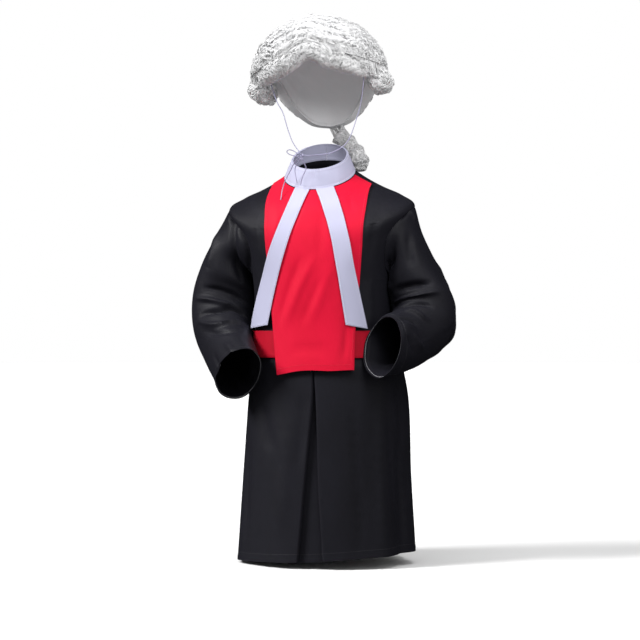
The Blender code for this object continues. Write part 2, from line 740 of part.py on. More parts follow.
def wig_front_roll(finish):
    """The hair rolled back over the forehead, along the crown's front rim."""
    path, radii = [], []
    for step in range(ROLL_STEPS + 1):
        angle = -ROLL_HALF_ANGLE + 2 * ROLL_HALF_ANGLE * step / ROLL_STEPS
        row = rim(angle)
        radius = ROLL_RADIUS * (1 - 0.18 * (angle / ROLL_HALF_ANGLE) ** 6)
        reach = (row.outer + row.inner) / 2
        slope = (rim(angle + 2.0).z - rim(angle - 2.0).z) / (reach * math.radians(4.0))
        drop = (radius + ROLL_GAP) * math.hypot(1.0, slope)
        side = math.radians(angle)
        path.append(wig_place((reach * math.sin(side), -reach * math.cos(side), row.z - drop)))
        radii.append(radius)
    return tube("wig_front_roll", path, radii, finish, sides=12)


def wig_side_roll(name, sign, finish):
    """A fat horizontal curl beside the head, under the crown's rim."""
    steps = 6
    path = []
    for step in range(steps + 1):
        y = SIDE_ROLL_FRONT + (SIDE_ROLL_BACK - SIDE_ROLL_FRONT) * step / steps
        path.append(wig_place((sign * SIDE_ROLL_X, y, SIDE_ROLL_Z)))
    return tube(name, path, [SIDE_ROLL_RADIUS] * (steps + 1), finish, sides=14)


def wig_queue(finish):
    steps = 12
    rows = [QueueRow(*spline(QUEUE, (len(QUEUE) - 1) * i / steps)) for i in range(steps + 1)]
    path = [wig_place((row.x, row.y, row.z)) for row in rows]
    radii = [row.radius * (1 + 0.08 * math.sin(2.2 * i)) for i, row in enumerate(rows)]
    return tube("wig_queue", path, radii, finish, sides=12)


def cord(name, points, radius, finish, count):
    """A thin cord on a smooth curve through its route's points."""
    keys = [tuple(point) for point in points]
    curve = bpy.data.curves.new(name, "CURVE")
    curve.dimensions = "3D"
    curve.bevel_depth = radius
    curve.bevel_resolution = 2
    curve.use_fill_caps = True
    line = curve.splines.new("POLY")
    line.points.add(count - 1)
    for i, point in enumerate(line.points):
        point.co = (*spline(keys, (len(keys) - 1) * i / (count - 1)), 1.0)
    obj = bpy.data.objects.new(name, curve)
    bpy.context.scene.collection.objects.link(obj)
    curve.materials.append(finish)
    return obj


def ball(name, centre, radius, finish):
    solid = bmesh.new()
    bmesh.ops.create_uvsphere(solid, u_segments=10, v_segments=6, radius=radius)
    bmesh.ops.translate(solid, verts=solid.verts, vec=centre)
    mesh = bpy.data.meshes.new(name)
    solid.to_mesh(mesh)
    solid.free()
    return new_object(name, mesh, finish)


def knot_side(point):
    """Where a cord that comes from this point stops, just short of the knot."""
    return KNOT + (Vector(point) - KNOT).normalized() * (KNOT_RADIUS + KNOT_GAP)


def strap_top(sign):
    """Where a strap is sewn to the crown's rim, in front of the ear."""
    angle = math.radians(STRAP_ANGLE)
    height = rim(STRAP_ANGLE).z - STRAP_GAP
    return wig_place((sign * STRAP_REACH * math.sin(angle), -STRAP_REACH * math.cos(angle), height))


def chin_ties(finish):
    """The straps, the knot, its loop and the free ends, each its own cord."""
    ball("tie_knot", KNOT, KNOT_RADIUS, finish)
    for sign, strap in zip((-1, 1), STRAPS):
        route = (strap_top(sign), *strap.route, knot_side(strap.route[-1]))
        cord(strap.name, route, TIE_RADIUS, finish, strap.steps)
    for end in FREE_ENDS:
        cord(end.name, (knot_side(end.route[0]), *end.route), TIE_RADIUS, finish, end.steps)
    cord("tie_loop", (knot_side(LOOP[0]), *LOOP, knot_side(LOOP[-1])), TIE_RADIUS, finish, LOOP_STEPS)


def build_costume():
    clear_scene()
    black = material("black_cloth", BLACK)
    red = material("red_cloth", RED)
    white = material("white_cloth", WHITE)
    hair = material("white_hair", HAIR)
    ribbon = material("tie_cord", RIBBON)
    robe_front(black)
    robe_back("robe_back_left", 1, black)
    robe_back("robe_back_right", -1, black)
    sleeve("sleeve_right", -1, SLEEVE_RIGHT, black)
    sleeve("sleeve_left", 1, SLEEVE_LEFT, black)
    bib(red)
    sash(red)
    collar(white)
    band("band_right", -1, white)
    band("band_left", 1, white)
    wig_crown(hair)
    wig_front_roll(hair)
    wig_side_roll("wig_side_roll_right", -1, hair)
    wig_side_roll("wig_side_roll_left", 1, hair)
    wig_queue(hair)
    chin_ties(ribbon)


build_costume()
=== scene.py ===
"""The judge costume, filled out as it is worn: cloth with its folds, weave and seams, and a wig of wavy hair.

Metres, +Z up. The front faces -Y and the wearer's left arm is on +X. Every piece follows the
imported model's own sections, which are worked out again here at a finer step.
"""

import math
from collections import namedtuple

import bpy
import numpy as np
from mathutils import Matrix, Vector


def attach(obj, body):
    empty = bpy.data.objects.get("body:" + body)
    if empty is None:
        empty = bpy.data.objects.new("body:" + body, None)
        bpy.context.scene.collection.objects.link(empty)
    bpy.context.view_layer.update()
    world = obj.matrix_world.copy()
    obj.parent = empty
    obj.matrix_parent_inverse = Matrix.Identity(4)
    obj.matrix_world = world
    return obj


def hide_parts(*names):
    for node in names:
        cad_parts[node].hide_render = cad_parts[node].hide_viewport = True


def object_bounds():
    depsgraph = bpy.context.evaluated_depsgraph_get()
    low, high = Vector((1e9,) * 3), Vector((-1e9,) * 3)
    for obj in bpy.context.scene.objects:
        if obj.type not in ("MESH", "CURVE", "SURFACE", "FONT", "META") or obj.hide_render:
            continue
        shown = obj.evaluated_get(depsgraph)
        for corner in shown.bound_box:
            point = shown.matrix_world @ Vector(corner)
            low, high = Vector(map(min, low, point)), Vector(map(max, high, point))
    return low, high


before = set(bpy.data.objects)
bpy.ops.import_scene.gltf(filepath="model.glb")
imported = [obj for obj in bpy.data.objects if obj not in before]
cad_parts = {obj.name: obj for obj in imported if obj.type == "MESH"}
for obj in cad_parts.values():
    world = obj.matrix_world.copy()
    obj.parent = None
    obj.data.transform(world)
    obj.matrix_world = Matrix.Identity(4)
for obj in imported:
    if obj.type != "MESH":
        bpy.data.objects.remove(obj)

cad_low, cad_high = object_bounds()


def tabled(kind, *rows):
    """A table's rows of bare values as named rows."""
    return tuple(kind(*row) for row in rows)


# The camera: it stands level with the waist and a little to the wearer's left.
VIEW_TURN = 13.0
VIEW_DISTANCE = 3.0
VIEW_HEIGHT = -0.230
LENS = 104.8
SENSOR = 36.0
PHOTO_SIDE = 640
FOCAL_PIXELS = PHOTO_SIDE * LENS / SENSOR
VIEW_SIN = math.sin(math.radians(VIEW_TURN))
VIEW_COS = math.cos(math.radians(VIEW_TURN))
EYE = (VIEW_DISTANCE * VIEW_SIN, -VIEW_DISTANCE * VIEW_COS, VIEW_HEIGHT)

# Light: each sun's degrees round from the front, degrees up, power and softness, and the wig's own light.
SunRow = namedtuple("SunRow", "name turn rise power softness")
SUNS = tabled(
    SunRow,
    ("key", -57.0, 38.0, 4.0, 20.0),
    ("fill", 52.0, 30.0, 0.55, 60.0),
    ("top", 0.0, 76.0, 0.65, 40.0),
)
AMBIENT = 0.42
HAIR_LIGHT_PLACE = (0.42, -0.50, 0.38)
HAIR_LIGHT_AIM = (0.02, 0.0, 0.17)
HAIR_LIGHT_SIZE = 0.36
HAIR_LIGHT_POWER = 3.2

# The white stage: a round floor just under the hem, and a dome round it.
FLOOR_GAP = 0.004
FLOOR_RADIUS = 14.0
FLOOR_WHITE = 0.93
STAGE_SIDES = 96
DOME_RINGS = 30

# The robe's outer face, a row for each section from the neckline to the hem.
BodyRow = namedtuple("BodyRow", "z_side z_front z_back half_width front back x_mid square")
BODY = tabled(
    BodyRow,
    (0.002, -0.0255, 0.028, 0.056, 0.054, 0.050, 0.000, 2.0),
    (-0.012, -0.040, 0.012, 0.080, 0.068, 0.062, 0.001, 2.0),
    (-0.023, -0.056, -0.010, 0.105, 0.080, 0.073, 0.002, 2.1),
    (-0.033, -0.075, -0.033, 0.130, 0.088, 0.082, 0.003, 2.1),
    (-0.050, -0.096, -0.062, 0.1515, 0.094, 0.089, 0.0025, 2.2),
    (-0.090, -0.126, -0.105, 0.132, 0.098, 0.093, 0.004, 2.3),
    (-0.165, -0.172, -0.167, 0.112, 0.099, 0.094, 0.006, 2.3),
    (-0.250, -0.250, -0.250, 0.113, 0.099, 0.093, 0.008, 2.3),
    (-0.350, -0.350, -0.350, 0.128, 0.104, 0.098, 0.014, 2.2),
    (-0.480, -0.480, -0.480, 0.134, 0.109, 0.106, 0.011, 2.1),
    (-0.6055, -0.6055, -0.6065, 0.141, 0.114, 0.112, 0.010, 2.1),
)
SHOULDER_TIP_LEVEL = 4.0
UNDERARM_LEVEL = 6.0
HEM_LEVEL = 10.0
HEM_TILT = 0.0085
SEAM_ANGLE = 0.0

# Soft vertical folds: where each is at its foot, the levels it grows between, and its size.
Fold = namedtuple("Fold", "angle top_level foot_level depth spread")
FOLDS = tabled(
    Fold,
    (-66.0, 6.6, 10.0, 0.0040, 9.0),
    (-40.0, 7.0, 10.0, -0.0030, 12.0),
    (33.0, 7.0, 10.0, -0.0022, 9.0),
    (52.0, 6.8, 10.0, 0.0045, 7.0),
    (71.0, 6.6, 10.0, -0.0055, 6.0),
    (88.0, 6.6, 10.0, 0.0055, 8.0),
    (112.0, 6.4, 10.0, -0.0060, 8.0),
    (134.0, 6.2, 10.0, 0.0080, 9.0),
    (158.0, 6.4, 10.0, -0.0060, 9.0),
    (203.0, 6.2, 10.0, 0.0075, 9.0),
    (228.0, 6.4, 10.0, -0.0065, 9.0),
    (252.0, 6.4, 10.0, 0.0060, 8.0),
)
# Degrees that each armhole cuts into the front, by side, and into the back.
ARMHOLE_FRONT = {-1: 38.0, 1: 30.0}
ARMHOLE_BACK = 36.0

# The pleat by level: half its gap, how far its folds reach from the middle, and how deep one fold lies.
PleatRow = namedtuple("PleatRow", "level half_gap reach depth")
PLEAT = tabled(
    PleatRow,
    (2.0, 0.0060, 0.0100, 0.0000),
    (3.5, 0.0030, 0.0085, 0.0032),
    (4.5, 0.0012, 0.0100, 0.0033),
    (7.6, 0.0012, 0.0240, 0.0034),
    (8.5, 0.0070, 0.0300, 0.0036),
    (10.0, 0.0205, 0.0370, 0.0040),
)
PLEAT_TURN = 0.0016
UNDERLAY_DROP = 0.0012
PLEAT_STEP = 0.004
PLEAT_COLUMNS = 45
SIDE_COLUMNS = 35
BACK_COLUMNS = 45
BACK_SEAM_COLUMN = 42

# The bib by level: its two edges in X, and how far it lies off the robe.
BibRow = namedtuple("BibRow", "level left right lift")
BIB = tabled(
    BibRow,
    (0.00, -0.0700, 0.0750, 0.0009),
    (0.85, -0.0754, 0.0830, 0.0012),
    (1.90, -0.0745, 0.0872, 0.0013),
    (3.00, -0.0716, 0.0882, 0.0009),
    (5.00, -0.0663, 0.0858, 0.0011),
    (6.30, -0.0583, 0.0790, 0.0026),
    (7.00, -0.0518, 0.0745, 0.0040),
    (7.62, -0.0436, 0.0742, 0.0065),
)
BIB_TOP_LEVEL = 0.03
BIB_SAG = 0.070
BIB_SAG_REACH = 0.55
BIB_WAVE = 0.006
SASH_TOP = -0.247
SASH_FOOT = -0.289

# The two bands by height: how far each one's middle is from the body's, and half its width.
BandRow = namedtuple("BandRow", "z right left half_right half_left")
BANDS = tabled(
    BandRow,
    (-0.0262, 0.0158, 0.0194, 0.0122, 0.0130),
    (-0.0560, 0.0232, 0.0359, 0.0120, 0.0134),
    (-0.1000, 0.0381, 0.0518, 0.0123, 0.0132),
    (-0.1500, 0.0535, 0.0606, 0.0142, 0.0131),
    (-0.2000, 0.0683, 0.0686, 0.0164, 0.0137),
    (-0.2410, 0.0785, 0.0754, 0.0178, 0.0143),
)
BAND_SLANT = 0.036

# The collar: its top edge, its layers, and the dents in it by degrees round.
COLLAR_TOP_WIDE = 0.0447
COLLAR_TOP_FRONT = 0.0460
COLLAR_TOP_BACK = 0.0450
COLLAR_TOP_MID = 0.0337
COLLAR_TOP_TILT = 0.0242
COLLAR_STACK = 0.0030
COLLAR_CLOTH = 0.0024
COLLAR_BOW = 0.0006
COLLAR_SEAM = 0.0005
COLLAR_OPENING = 0.8
COLLAR_COLUMNS = 181
COLLAR_STITCH_INSET = 0.0034
Dent = namedtuple("Dent", "angle depth spread")
COLLAR_DENTS = tabled(
    Dent,
    (3.0, 0.0007, 3.0),
    (-33.0, 0.0006, 6.0),
    (38.0, 0.0006, 8.0),
    (-95.0, 0.0005, 9.0),
)

# Each sleeve's sections down to the cuff: the centre, its turns in degrees, and half its size each way.
SleeveRow = namedtuple("SleeveRow", "x y z yaw bend lean across deep inner")
SLEEVE_RIGHT = tabled(
    SleeveRow,
    (-0.145, 0.002, -0.122, 0.0, 2.0, 42.0, 0.0385, 0.050, 0.041),
    (-0.1575, 0.003, -0.160, 0.0, 10.0, 24.0, 0.044, 0.052, 0.060),
    (-0.166, 0.003, -0.200, 4.0, 30.0, 8.0, 0.047, 0.055, 0.064),
    (-0.1585, -0.014, -0.244, 12.0, 52.0, 4.0, 0.049, 0.054, 0.056),
    (-0.138, -0.050, -0.277, 22.0, 60.0, 6.0, 0.042, 0.052, 0.042),
    (-0.117, -0.088, -0.300, 32.0, 58.0, 12.0, 0.038, 0.052, 0.036),
    (-0.102, -0.114, -0.315, 40.0, 46.0, 20.0, 0.037, 0.055, 0.031),
)
SLEEVE_LEFT = tabled(
    SleeveRow,
    (0.1405, 0.002, -0.122, 0.0, 2.0, -45.0, 0.0385, 0.050, 0.040),
    (0.1535, 0.004, -0.165, 0.0, 8.0, -20.0, 0.042, 0.052, 0.054),
    (0.1685, 0.003, -0.206, -4.0, 28.0, -6.0, 0.050, 0.055, 0.058),
    (0.1675, -0.013, -0.239, -14.0, 52.0, -2.0, 0.050, 0.052, 0.052),
    (0.150, -0.047, -0.257, -28.0, 68.0, 0.0, 0.042, 0.047, 0.042),
    (0.136, -0.083, -0.266, -36.0, 86.0, 0.0, 0.038, 0.047, 0.041),
    (0.125, -0.106, -0.272, -34.0, 103.0, 0.0, 0.036, 0.048, 0.043),
)
SLEEVE_CLEAR = 0.0035
UNDERARM_TOP = -0.140
SLEEVE_COLUMNS = 112
SLEEVE_ROWS = 137

# Points well inside each form, which its outer face looks away from.
BODY_MIDDLE = np.array((0.0, 0.0, -0.3))
CHEST_MIDDLE = np.array((0.0, 0.0, -0.15))
SASH_MIDDLE = np.array((0.0, 0.0, -0.27))
COLLAR_MIDDLE = np.array((0.0, 0.0, 0.02))

# Cloth as it is drawn here, thinner than the model's walls, with its seams, hems, swells and stitches.
ROBE_CLOTH = 0.0010
RED_CLOTH = 0.0009
BAND_CLOTH = 0.0010
MODEL_CLOTH = 0.0015
LAY_GAP = 0.0012
UNDER_BIB = 0.0018
NECK_LIP = 0.0035
SEAM_DIP = 0.0007
SEAM_WIDTH = 0.0026
SEAM_FADE = 0.012
HEM_RISE = 0.00035
HEM_EDGE = 0.0015
HEM_PULL = 0.0005
HEM_PULL_WIDTH = 0.0012
UNDER_SASH = 0.0010
UNDER_BAND = 0.0004
BIB_DEEPEST = -0.0019
BAND_GAP = 0.0012
TOP_LAYER = 0.0006
PLEAT_CALM = 0.06
FRONT_SWELL = 0.0012
BACK_SWELL = 0.0018
SLEEVE_SWELL = 0.0016
BIB_SWELL = 0.0010
SASH_SWELL = 0.0004
BAND_SWELL = 0.0005
BIB_STITCH_INSET = 0.0045
BAND_STITCH_INSET = 0.0026
HEM_DEPTH = 0.0110
CUFF_HEM = 0.0095
STITCH_PITCH = 0.0031
STITCH_LENGTH = 0.0022
STITCH_RADIUS = 0.00024
STITCH_LIFT = 0.0001
STITCH_SIDES = 5
# Rings along one stitch: the share of its length, the ring's size and its height off the cloth, in radii.
STITCH_SHAPE = ((-0.5, 0.35, -0.9), (-0.28, 0.95, 0.1), (0.28, 0.95, 0.1), (0.5, 0.35, -0.9))
SERGING_RADIUS = 0.00028
SERGING_PITCH = 0.0016
SERGING_REACH = 0.0011
SERGING_POINTS = 700

# Creases that the photograph shows: its own pixels along each, half its width, and how far out it stands.
Crease = namedtuple("Crease", "width height path")
SLEEVE_RIGHT_SEEN = tabled(
    Crease,
    (0.0035, 0.0065, ((199, 321), (208, 324.5), (216, 325.4), (226, 324.5), (236, 322.5), (247, 326))),
    (0.0050, -0.0081, ((203, 314), (212, 312), (222, 310), (231, 308), (241, 312), (248, 319))),
    (0.0041, 0.0056, ((197, 298), (207, 299), (216, 301.5), (226, 304.5), (237, 309))),
    (0.0041, -0.0039, ((203, 331), (216, 333.5), (230, 332), (240, 330))),
    (0.0054, -0.0051, ((205, 288), (218, 290), (232, 295), (245, 303))),
    (0.0050, -0.0051, ((233, 214), (234, 228), (234, 245), (237, 262), (241, 280))),
    (0.0091, 0.0034, ((217, 232), (213, 250), (208, 268))),
    (0.0045, -0.0051, ((244, 216), (247, 235), (249, 255), (251, 278))),
    (0.0029, 0.0043, ((229, 211), (230, 217), (229, 223))),
    (0.0025, -0.0043, ((233, 209), (236, 214), (240, 220))),
    (0.0041, -0.0029, ((214, 355), (219, 366), (223, 377))),
    (0.0050, 0.0028, ((225, 342), (231, 349), (234, 356))),
)
SLEEVE_LEFT_SEEN = tabled(
    Crease,
    (0.0035, 0.0060, ((394, 306), (398, 301), (407, 298), (417, 295), (427, 293), (437, 292))),
    (0.0052, -0.0077, ((390, 293), (399, 289), (409, 286.5), (419, 284.5), (430, 283))),
    (0.0037, -0.0048, ((398, 308), (408, 305), (420, 304), (431, 306))),
    (0.0033, 0.0043, ((403, 311.5), (411, 311), (418, 313.5), (428, 320))),
    (0.0041, -0.0034, ((399, 318), (409, 320), (419, 326))),
    (0.0041, 0.0037, ((414, 334), (418, 341), (423, 349))),
    (0.0041, -0.0032, ((407, 336), (411, 344), (415, 354))),
    (0.0058, -0.0056, ((394, 240), (392, 254), (391, 268), (390, 282))),
    (0.0075, -0.0034, ((409, 232), (410, 250), (412, 268))),
    (0.0025, -0.0039, ((406, 207), (402, 211), (399, 217))),
    (0.0033, 0.0029, ((411, 209), (413, 216), (416, 224))),
    (0.0066, 0.0029, ((436, 262), (444, 278), (449, 292))),
)
FRONT_SEEN = tabled(
    Crease,
    (0.0033, 0.0030, ((393.5, 392), (397, 430), (401, 470), (405, 510), (407, 546))),
    (0.0046, -0.0027, ((387, 400), (390, 450), (394, 500), (397, 546))),
    (0.0060, 0.0019, ((379, 405), (380, 450), (383, 500), (386, 545))),
    (0.0064, -0.0021, ((352, 400), (355, 450), (358, 505), (360, 548))),
    (0.0120, -0.0030, ((262, 402), (266, 424), (270, 452))),
    (0.0147, 0.0024, ((286, 420), (284, 470), (281, 525))),
    (0.0064, -0.0018, ((305, 392), (302, 430), (298, 468))),
    (0.0055, -0.0024, ((249, 430), (248, 480), (246, 535))),
    (0.0051, 0.0018, ((257, 214), (259, 240), (261, 268))),
    (0.0074, -0.0019, ((381, 204), (374, 230), (369, 262))),
    (0.0055, 0.0018, ((371, 275), (371, 300), (372, 330))),
)
BIB_SEEN = tabled(
    Crease,
    (0.0038, -0.0014, ((348, 192), (350, 201), (352, 212))),
    (0.0071, 0.0025, ((313, 258), (304, 278), (295, 299), (287, 320))),
    (0.0057, -0.0022, ((300, 258), (292, 280), (285, 300), (280, 320))),
    (0.0095, 0.0017, ((332, 262), (321, 292), (311, 322))),
    (0.0066, -0.0017, ((322, 276), (312, 300), (301, 326))),
    (0.0057, -0.0019, ((345, 318), (346, 338), (343, 360))),
    (0.0057, -0.0013, ((290, 353), (308, 349), (330, 352))),
    (0.0076, -0.0013, ((322, 206), (321, 232), (318, 258))),
    (0.0057, 0.0012, ((276, 200), (277, 222), (279, 246))),
)

# Creases on the hidden sides, along each panel's own lines: degrees round the body, and the level.
BACK_CREASES = tabled(
    Crease,
    (0.0110, -0.0041, ((152, 4.6), (155, 5.6), (153, 6.8), (157, 8.0))),
    (0.0090, 0.0030, ((141, 5.0), (143, 6.0), (141, 7.2))),
    (0.0060, -0.0032, ((130, 5.3), (141, 5.6), (152, 5.6))),
    (0.0055, 0.0024, ((129, 5.6), (139, 5.95), (150, 6.1))),
    (0.0060, -0.0027, ((121, 6.2), (131, 6.6), (143, 6.8))),
    (0.0070, -0.0024, ((104, 6.3), (112, 6.9), (121, 7.4))),
    (0.0080, 0.0022, ((165, 5.2), (168, 6.4), (166, 7.6))),
    (0.0050, -0.0019, ((146, 1.6), (152, 2.4), (158, 3.2))),
)
BACK_CREASES_OTHER = tabled(
    Crease,
    (0.0120, -0.0038, ((149, 4.8), (150, 5.8), (152, 7.0), (149, 8.3))),
    (0.0080, 0.0027, ((162, 4.6), (164, 5.8), (161, 7.0))),
    (0.0065, -0.0035, ((130, 5.0), (140, 5.4), (154, 5.5))),
    (0.0050, 0.0024, ((129, 5.4), (140, 5.8), (149, 5.9))),
    (0.0060, -0.0024, ((118, 6.1), (128, 6.4), (141, 6.5))),
    (0.0075, -0.0027, ((101, 6.4), (110, 7.0), (117, 7.8))),
    (0.0060, 0.0016, ((172, 2.4), (170, 3.6), (171, 4.6))),
)
# Degrees round the sleeve from its inner side through its front, and the share of the way to the cuff.
SLEEVE_HIDDEN = tabled(
    Crease,
    (0.0057, -0.0048, ((196, 0.46), (222, 0.49), (250, 0.50), (280, 0.48))),
    (0.0047, 0.0035, ((200, 0.51), (228, 0.545), (258, 0.55), (284, 0.53))),
    (0.0057, -0.0038, ((205, 0.57), (232, 0.60), (262, 0.61))),
    (0.0076, -0.0035, ((238, 0.12), (242, 0.22), (250, 0.34))),
    (0.0066, 0.0029, ((205, 0.16), (210, 0.27), (214, 0.38))),
    (0.0057, -0.0026, ((282, 0.66), (296, 0.76), (305, 0.86))),
    (0.0047, -0.0029, ((318, 0.50), (338, 0.53), (352, 0.56))),
    (0.0057, 0.0022, ((235, 0.68), (246, 0.78), (250, 0.90))),
)

# The wig, set out straight and then turned and tipped with the head.
WIG_TURN = 3.0
WIG_TIP = -4.0
WIG_CENTRE = np.array((0.0, 0.0, 0.170))
WIG_SHIFT = np.array((-0.002, 0.004, 0.0))
WIG_TOP = 0.257
WIG_HOLLOW_TOP = 0.238
WIG_FULL = 0.96
# The cap's lower rim by degrees from the front: its height, its two radii, and how far it is drawn in.
RimRow = namedtuple("RimRow", "angle z outer inner tuck")
WIG_RIM = tabled(
    RimRow,
    (0.0, 0.206, 0.107, 0.088, 0.00),
    (10.0, 0.200, 0.107, 0.087, 0.00),
    (20.0, 0.190, 0.106, 0.086, 0.00),
    (35.0, 0.182, 0.105, 0.084, 0.00),
    (55.0, 0.175, 0.104, 0.081, 0.00),
    (75.0, 0.167, 0.1045, 0.080, 0.00),
    (95.0, 0.164, 0.1045, 0.080, 0.00),
    (118.0, 0.1645, 0.108, 0.083, 0.00),
    (138.0, 0.124, 0.113, 0.089, 0.10),
    (158.0, 0.097, 0.116, 0.095, 0.20),
    (180.0, 0.089, 0.117, 0.098, 0.22),
)
# The rolls: one over the forehead, and one above each ear.
ROLL_RADIUS = 0.0135
ROLL_GAP = 0.0010
ROLL_HALF_ANGLE = 60.0
SIDE_ROLL_RADIUS = 0.0168
SIDE_ROLL_X = 0.0960
SIDE_ROLL_FRONT = -0.019
SIDE_ROLL_BACK = 0.035
SIDE_ROLL_Z = 0.1472
# The queue's middle line and its radius, from the nape to the tip.
QueueRow = namedtuple("QueueRow", "x y z radius")
QUEUE = tabled(
    QueueRow,
    (0.008, 0.086, 0.0773, 0.0125),
    (0.017, 0.087, 0.0670, 0.0130),
    (0.027, 0.085, 0.0560, 0.0130),
    (0.036, 0.080, 0.0430, 0.0130),
    (0.042, 0.075, 0.0310, 0.0145),
    (0.043, 0.073, 0.0200, 0.0130),
    (0.042, 0.072, 0.0110, 0.0070),
)

# Hair: a head's radius turns angles into lengths, and waves run across the way that it is combed.
HEAD_RADIUS = 0.105
POLE_DROP = 22.0
WAVE_LENGTH = 0.0190
WAVE_HEIGHT = 0.0014
WAVE_SWAY = 0.0034
LOCK_WIDTH = 0.0088
LOCK_RISE = 0.0026
HAIR_RADIUS = 0.00055
SIDE_FULLNESS = 0.0050
QUEUE_LENGTH = 0.080
QUEUE_RADIUS = 0.013
NET_GAP = 0.0009
NET_CLOTH = 0.0006
WEFT_HEIGHT = 0.0005
CROWN_HAIRS_UNDER = 860
CROWN_HAIRS_OVER = 960
CROWN_CURLS = 110
FRONT_ROLL_HAIRS = 760
SIDE_ROLL_HAIRS = 400
SIDE_ROLL_CURLS = 30
EDGE_HAIRS = 840
QUEUE_HAIRS = 360
NAPE_HAIRS = 120
CURL_HAIRS = 6
CROWN_COLUMNS = 256
CROWN_ROWS = 80
STRAND_TURNS = (0.0, 2.094, 4.189)

# The chin ties: a thin twisted cord, with each stretch's real length.
TIE_RADIUS = 0.0008
TIE_TWIST = 1500.0
KNOT = np.array((-0.0130, -0.0720, 0.0290))
KNOT_RADIUS = 0.0036
KNOT_GAP = 0.0005
STRAP_ANGLE = 70.0
STRAP_REACH = 0.0838
STRAP_GAP = 0.0007
TieRow = namedtuple("TieRow", "name length route")
STRAP_RIGHT = TieRow("chin_tie_right", 0.152, (
    (-0.0620, -0.0400, 0.1200), (-0.0500, -0.0460, 0.1000), (-0.0410, -0.0540, 0.0760),
    (-0.0300, -0.0640, 0.0520), (-0.0175, -0.0715, 0.0355),
))
STRAP_LEFT = TieRow("chin_tie_left", 0.207, (
    (0.0765, -0.0400, 0.1190), (0.0700, -0.0480, 0.0870), (0.0570, -0.0570, 0.0500),
    (0.0340, -0.0670, 0.0330), (0.0050, -0.0720, 0.0290),
))
END_A = TieRow("tie_end_a", 0.047, (
    (-0.0162, -0.0722, 0.0218), (-0.0240, -0.0640, 0.0140), (-0.0265, -0.0610, 0.0050),
    (-0.0226, -0.0630, -0.0137),
))
END_B = TieRow("tie_end_b", 0.084, (
    (-0.0185, -0.0710, 0.0252), (-0.0265, -0.0630, 0.0195), (-0.0355, -0.0570, 0.0059),
    (-0.0435, -0.0560, -0.0087), (-0.0480, -0.0580, -0.0240), (-0.0484, -0.0660, -0.0400),
))
END_C = TieRow("tie_end_c", 0.047, (
    (-0.0120, -0.0725, 0.0230), (-0.0085, -0.0690, 0.0150), (-0.0073, -0.0665, 0.0080),
    (-0.0131, -0.0640, -0.0030), (-0.0168, -0.0640, -0.0171),
))
LOOP = TieRow("tie_loop", 0.047, (
    (-0.0195, -0.0720, 0.0323), (-0.0270, -0.0715, 0.0368), (-0.0340, -0.0705, 0.0385),
    (-0.0375, -0.0700, 0.0352), (-0.0330, -0.0700, 0.0312), (-0.0260, -0.0710, 0.0290),
    (-0.0200, -0.0718, 0.0280),
))


# Curves and tables
def spline(rows, at):
    """A smooth curve through the rows of a table, read at fractional row numbers."""
    rows = np.asarray(rows, float)
    flat = rows.reshape(len(rows), -1)
    at = np.asarray(at, float)
    last = len(rows) - 1
    i = np.clip(at.astype(int), 0, last - 1)
    t = (at - i)[..., None]
    p1, p2 = flat[i], flat[i + 1]
    p0 = np.where((i > 0)[..., None], flat[np.maximum(i - 1, 0)], 2 * p1 - p2)
    p3 = np.where((i + 2 <= last)[..., None], flat[np.minimum(i + 2, last)], 2 * p2 - p1)
    cubic = t * (3 * (p1 - p2) + p3 - p0)
    made = p1 + 0.5 * t * (p2 - p0 + t * (2 * p0 - 5 * p1 + 4 * p2 - p3 + cubic))
    return made.reshape(at.shape + rows.shape[1:])


def read(table, at):
    """A row of a table at fractional row numbers, as a named row of arrays."""
    return type(table[0])(*np.moveaxis(spline(table, at), -1, 0))


def keyed(table, at):
    """A row of a table whose first column is the key, read smoothly at values of that key."""
    keys = np.array([row[0] for row in table])
    at = np.clip(np.asarray(at, float), keys[0], keys[-1])
    i = np.clip(np.searchsorted(keys, at, "right") - 1, 0, len(keys) - 2)
    return read(table, i + (at - keys[i]) / (keys[i + 1] - keys[i]))


def ease(value):
    value = np.clip(value, 0.0, 1.0)
    return value * value * (3 - 2 * value)


def unit(vectors):
    return vectors / np.maximum(np.linalg.norm(vectors, axis=-1, keepdims=True), 1e-12)


def stacked(*parts):
    return np.stack(np.broadcast_arrays(*parts), axis=-1)


# The robe's surface
def fold_out(angle, level):
    total = 0.0
    for fold in FOLDS:
        away = (angle - fold.angle + 180.0) % 360.0 - 180.0
        grown = ease((level - fold.top_level) / (fold.foot_level - fold.top_level))
        total = total + fold.depth * grown * np.exp(-((away / fold.spread) ** 2))
    return total


def body(angle, level):
    """The robe's outer face: degrees round from centre front towards +X, and a fractional BODY row."""
    angle, level = np.broadcast_arrays(np.asarray(angle, float), np.asarray(level, float))
    row = read(BODY, level)
    sin, cos = np.sin(np.radians(angle)), np.cos(np.radians(angle))
    depth = np.where(cos > 0, row.front, row.back)
    bend = 2 / row.square
    x = row.x_mid + row.half_width * np.copysign(np.abs(sin) ** bend, sin)
    y = -depth * np.copysign(np.abs(cos) ** bend, cos)
    half_fall = (row.z_back - row.z_front) / 2
    mean = (row.z_back + row.z_front) / 2
    z = row.z_side - half_fall * cos + (mean - row.z_side) * cos * cos
    z = z + HEM_TILT * sin * ease((level - 8.0) / 2.0)
    out = fold_out(angle, level)
    return stacked(x + out * sin, y - out * cos, z)


def body_frame(angle, level):
    """The unit normal out of the robe's face, and the unit direction up it."""
    across = body(angle + 1.0, level) - body(angle - 1.0, level)
    down = body(angle, level + 0.04) - body(angle, level - 0.04)
    return unit(np.cross(down, across)), -unit(down)


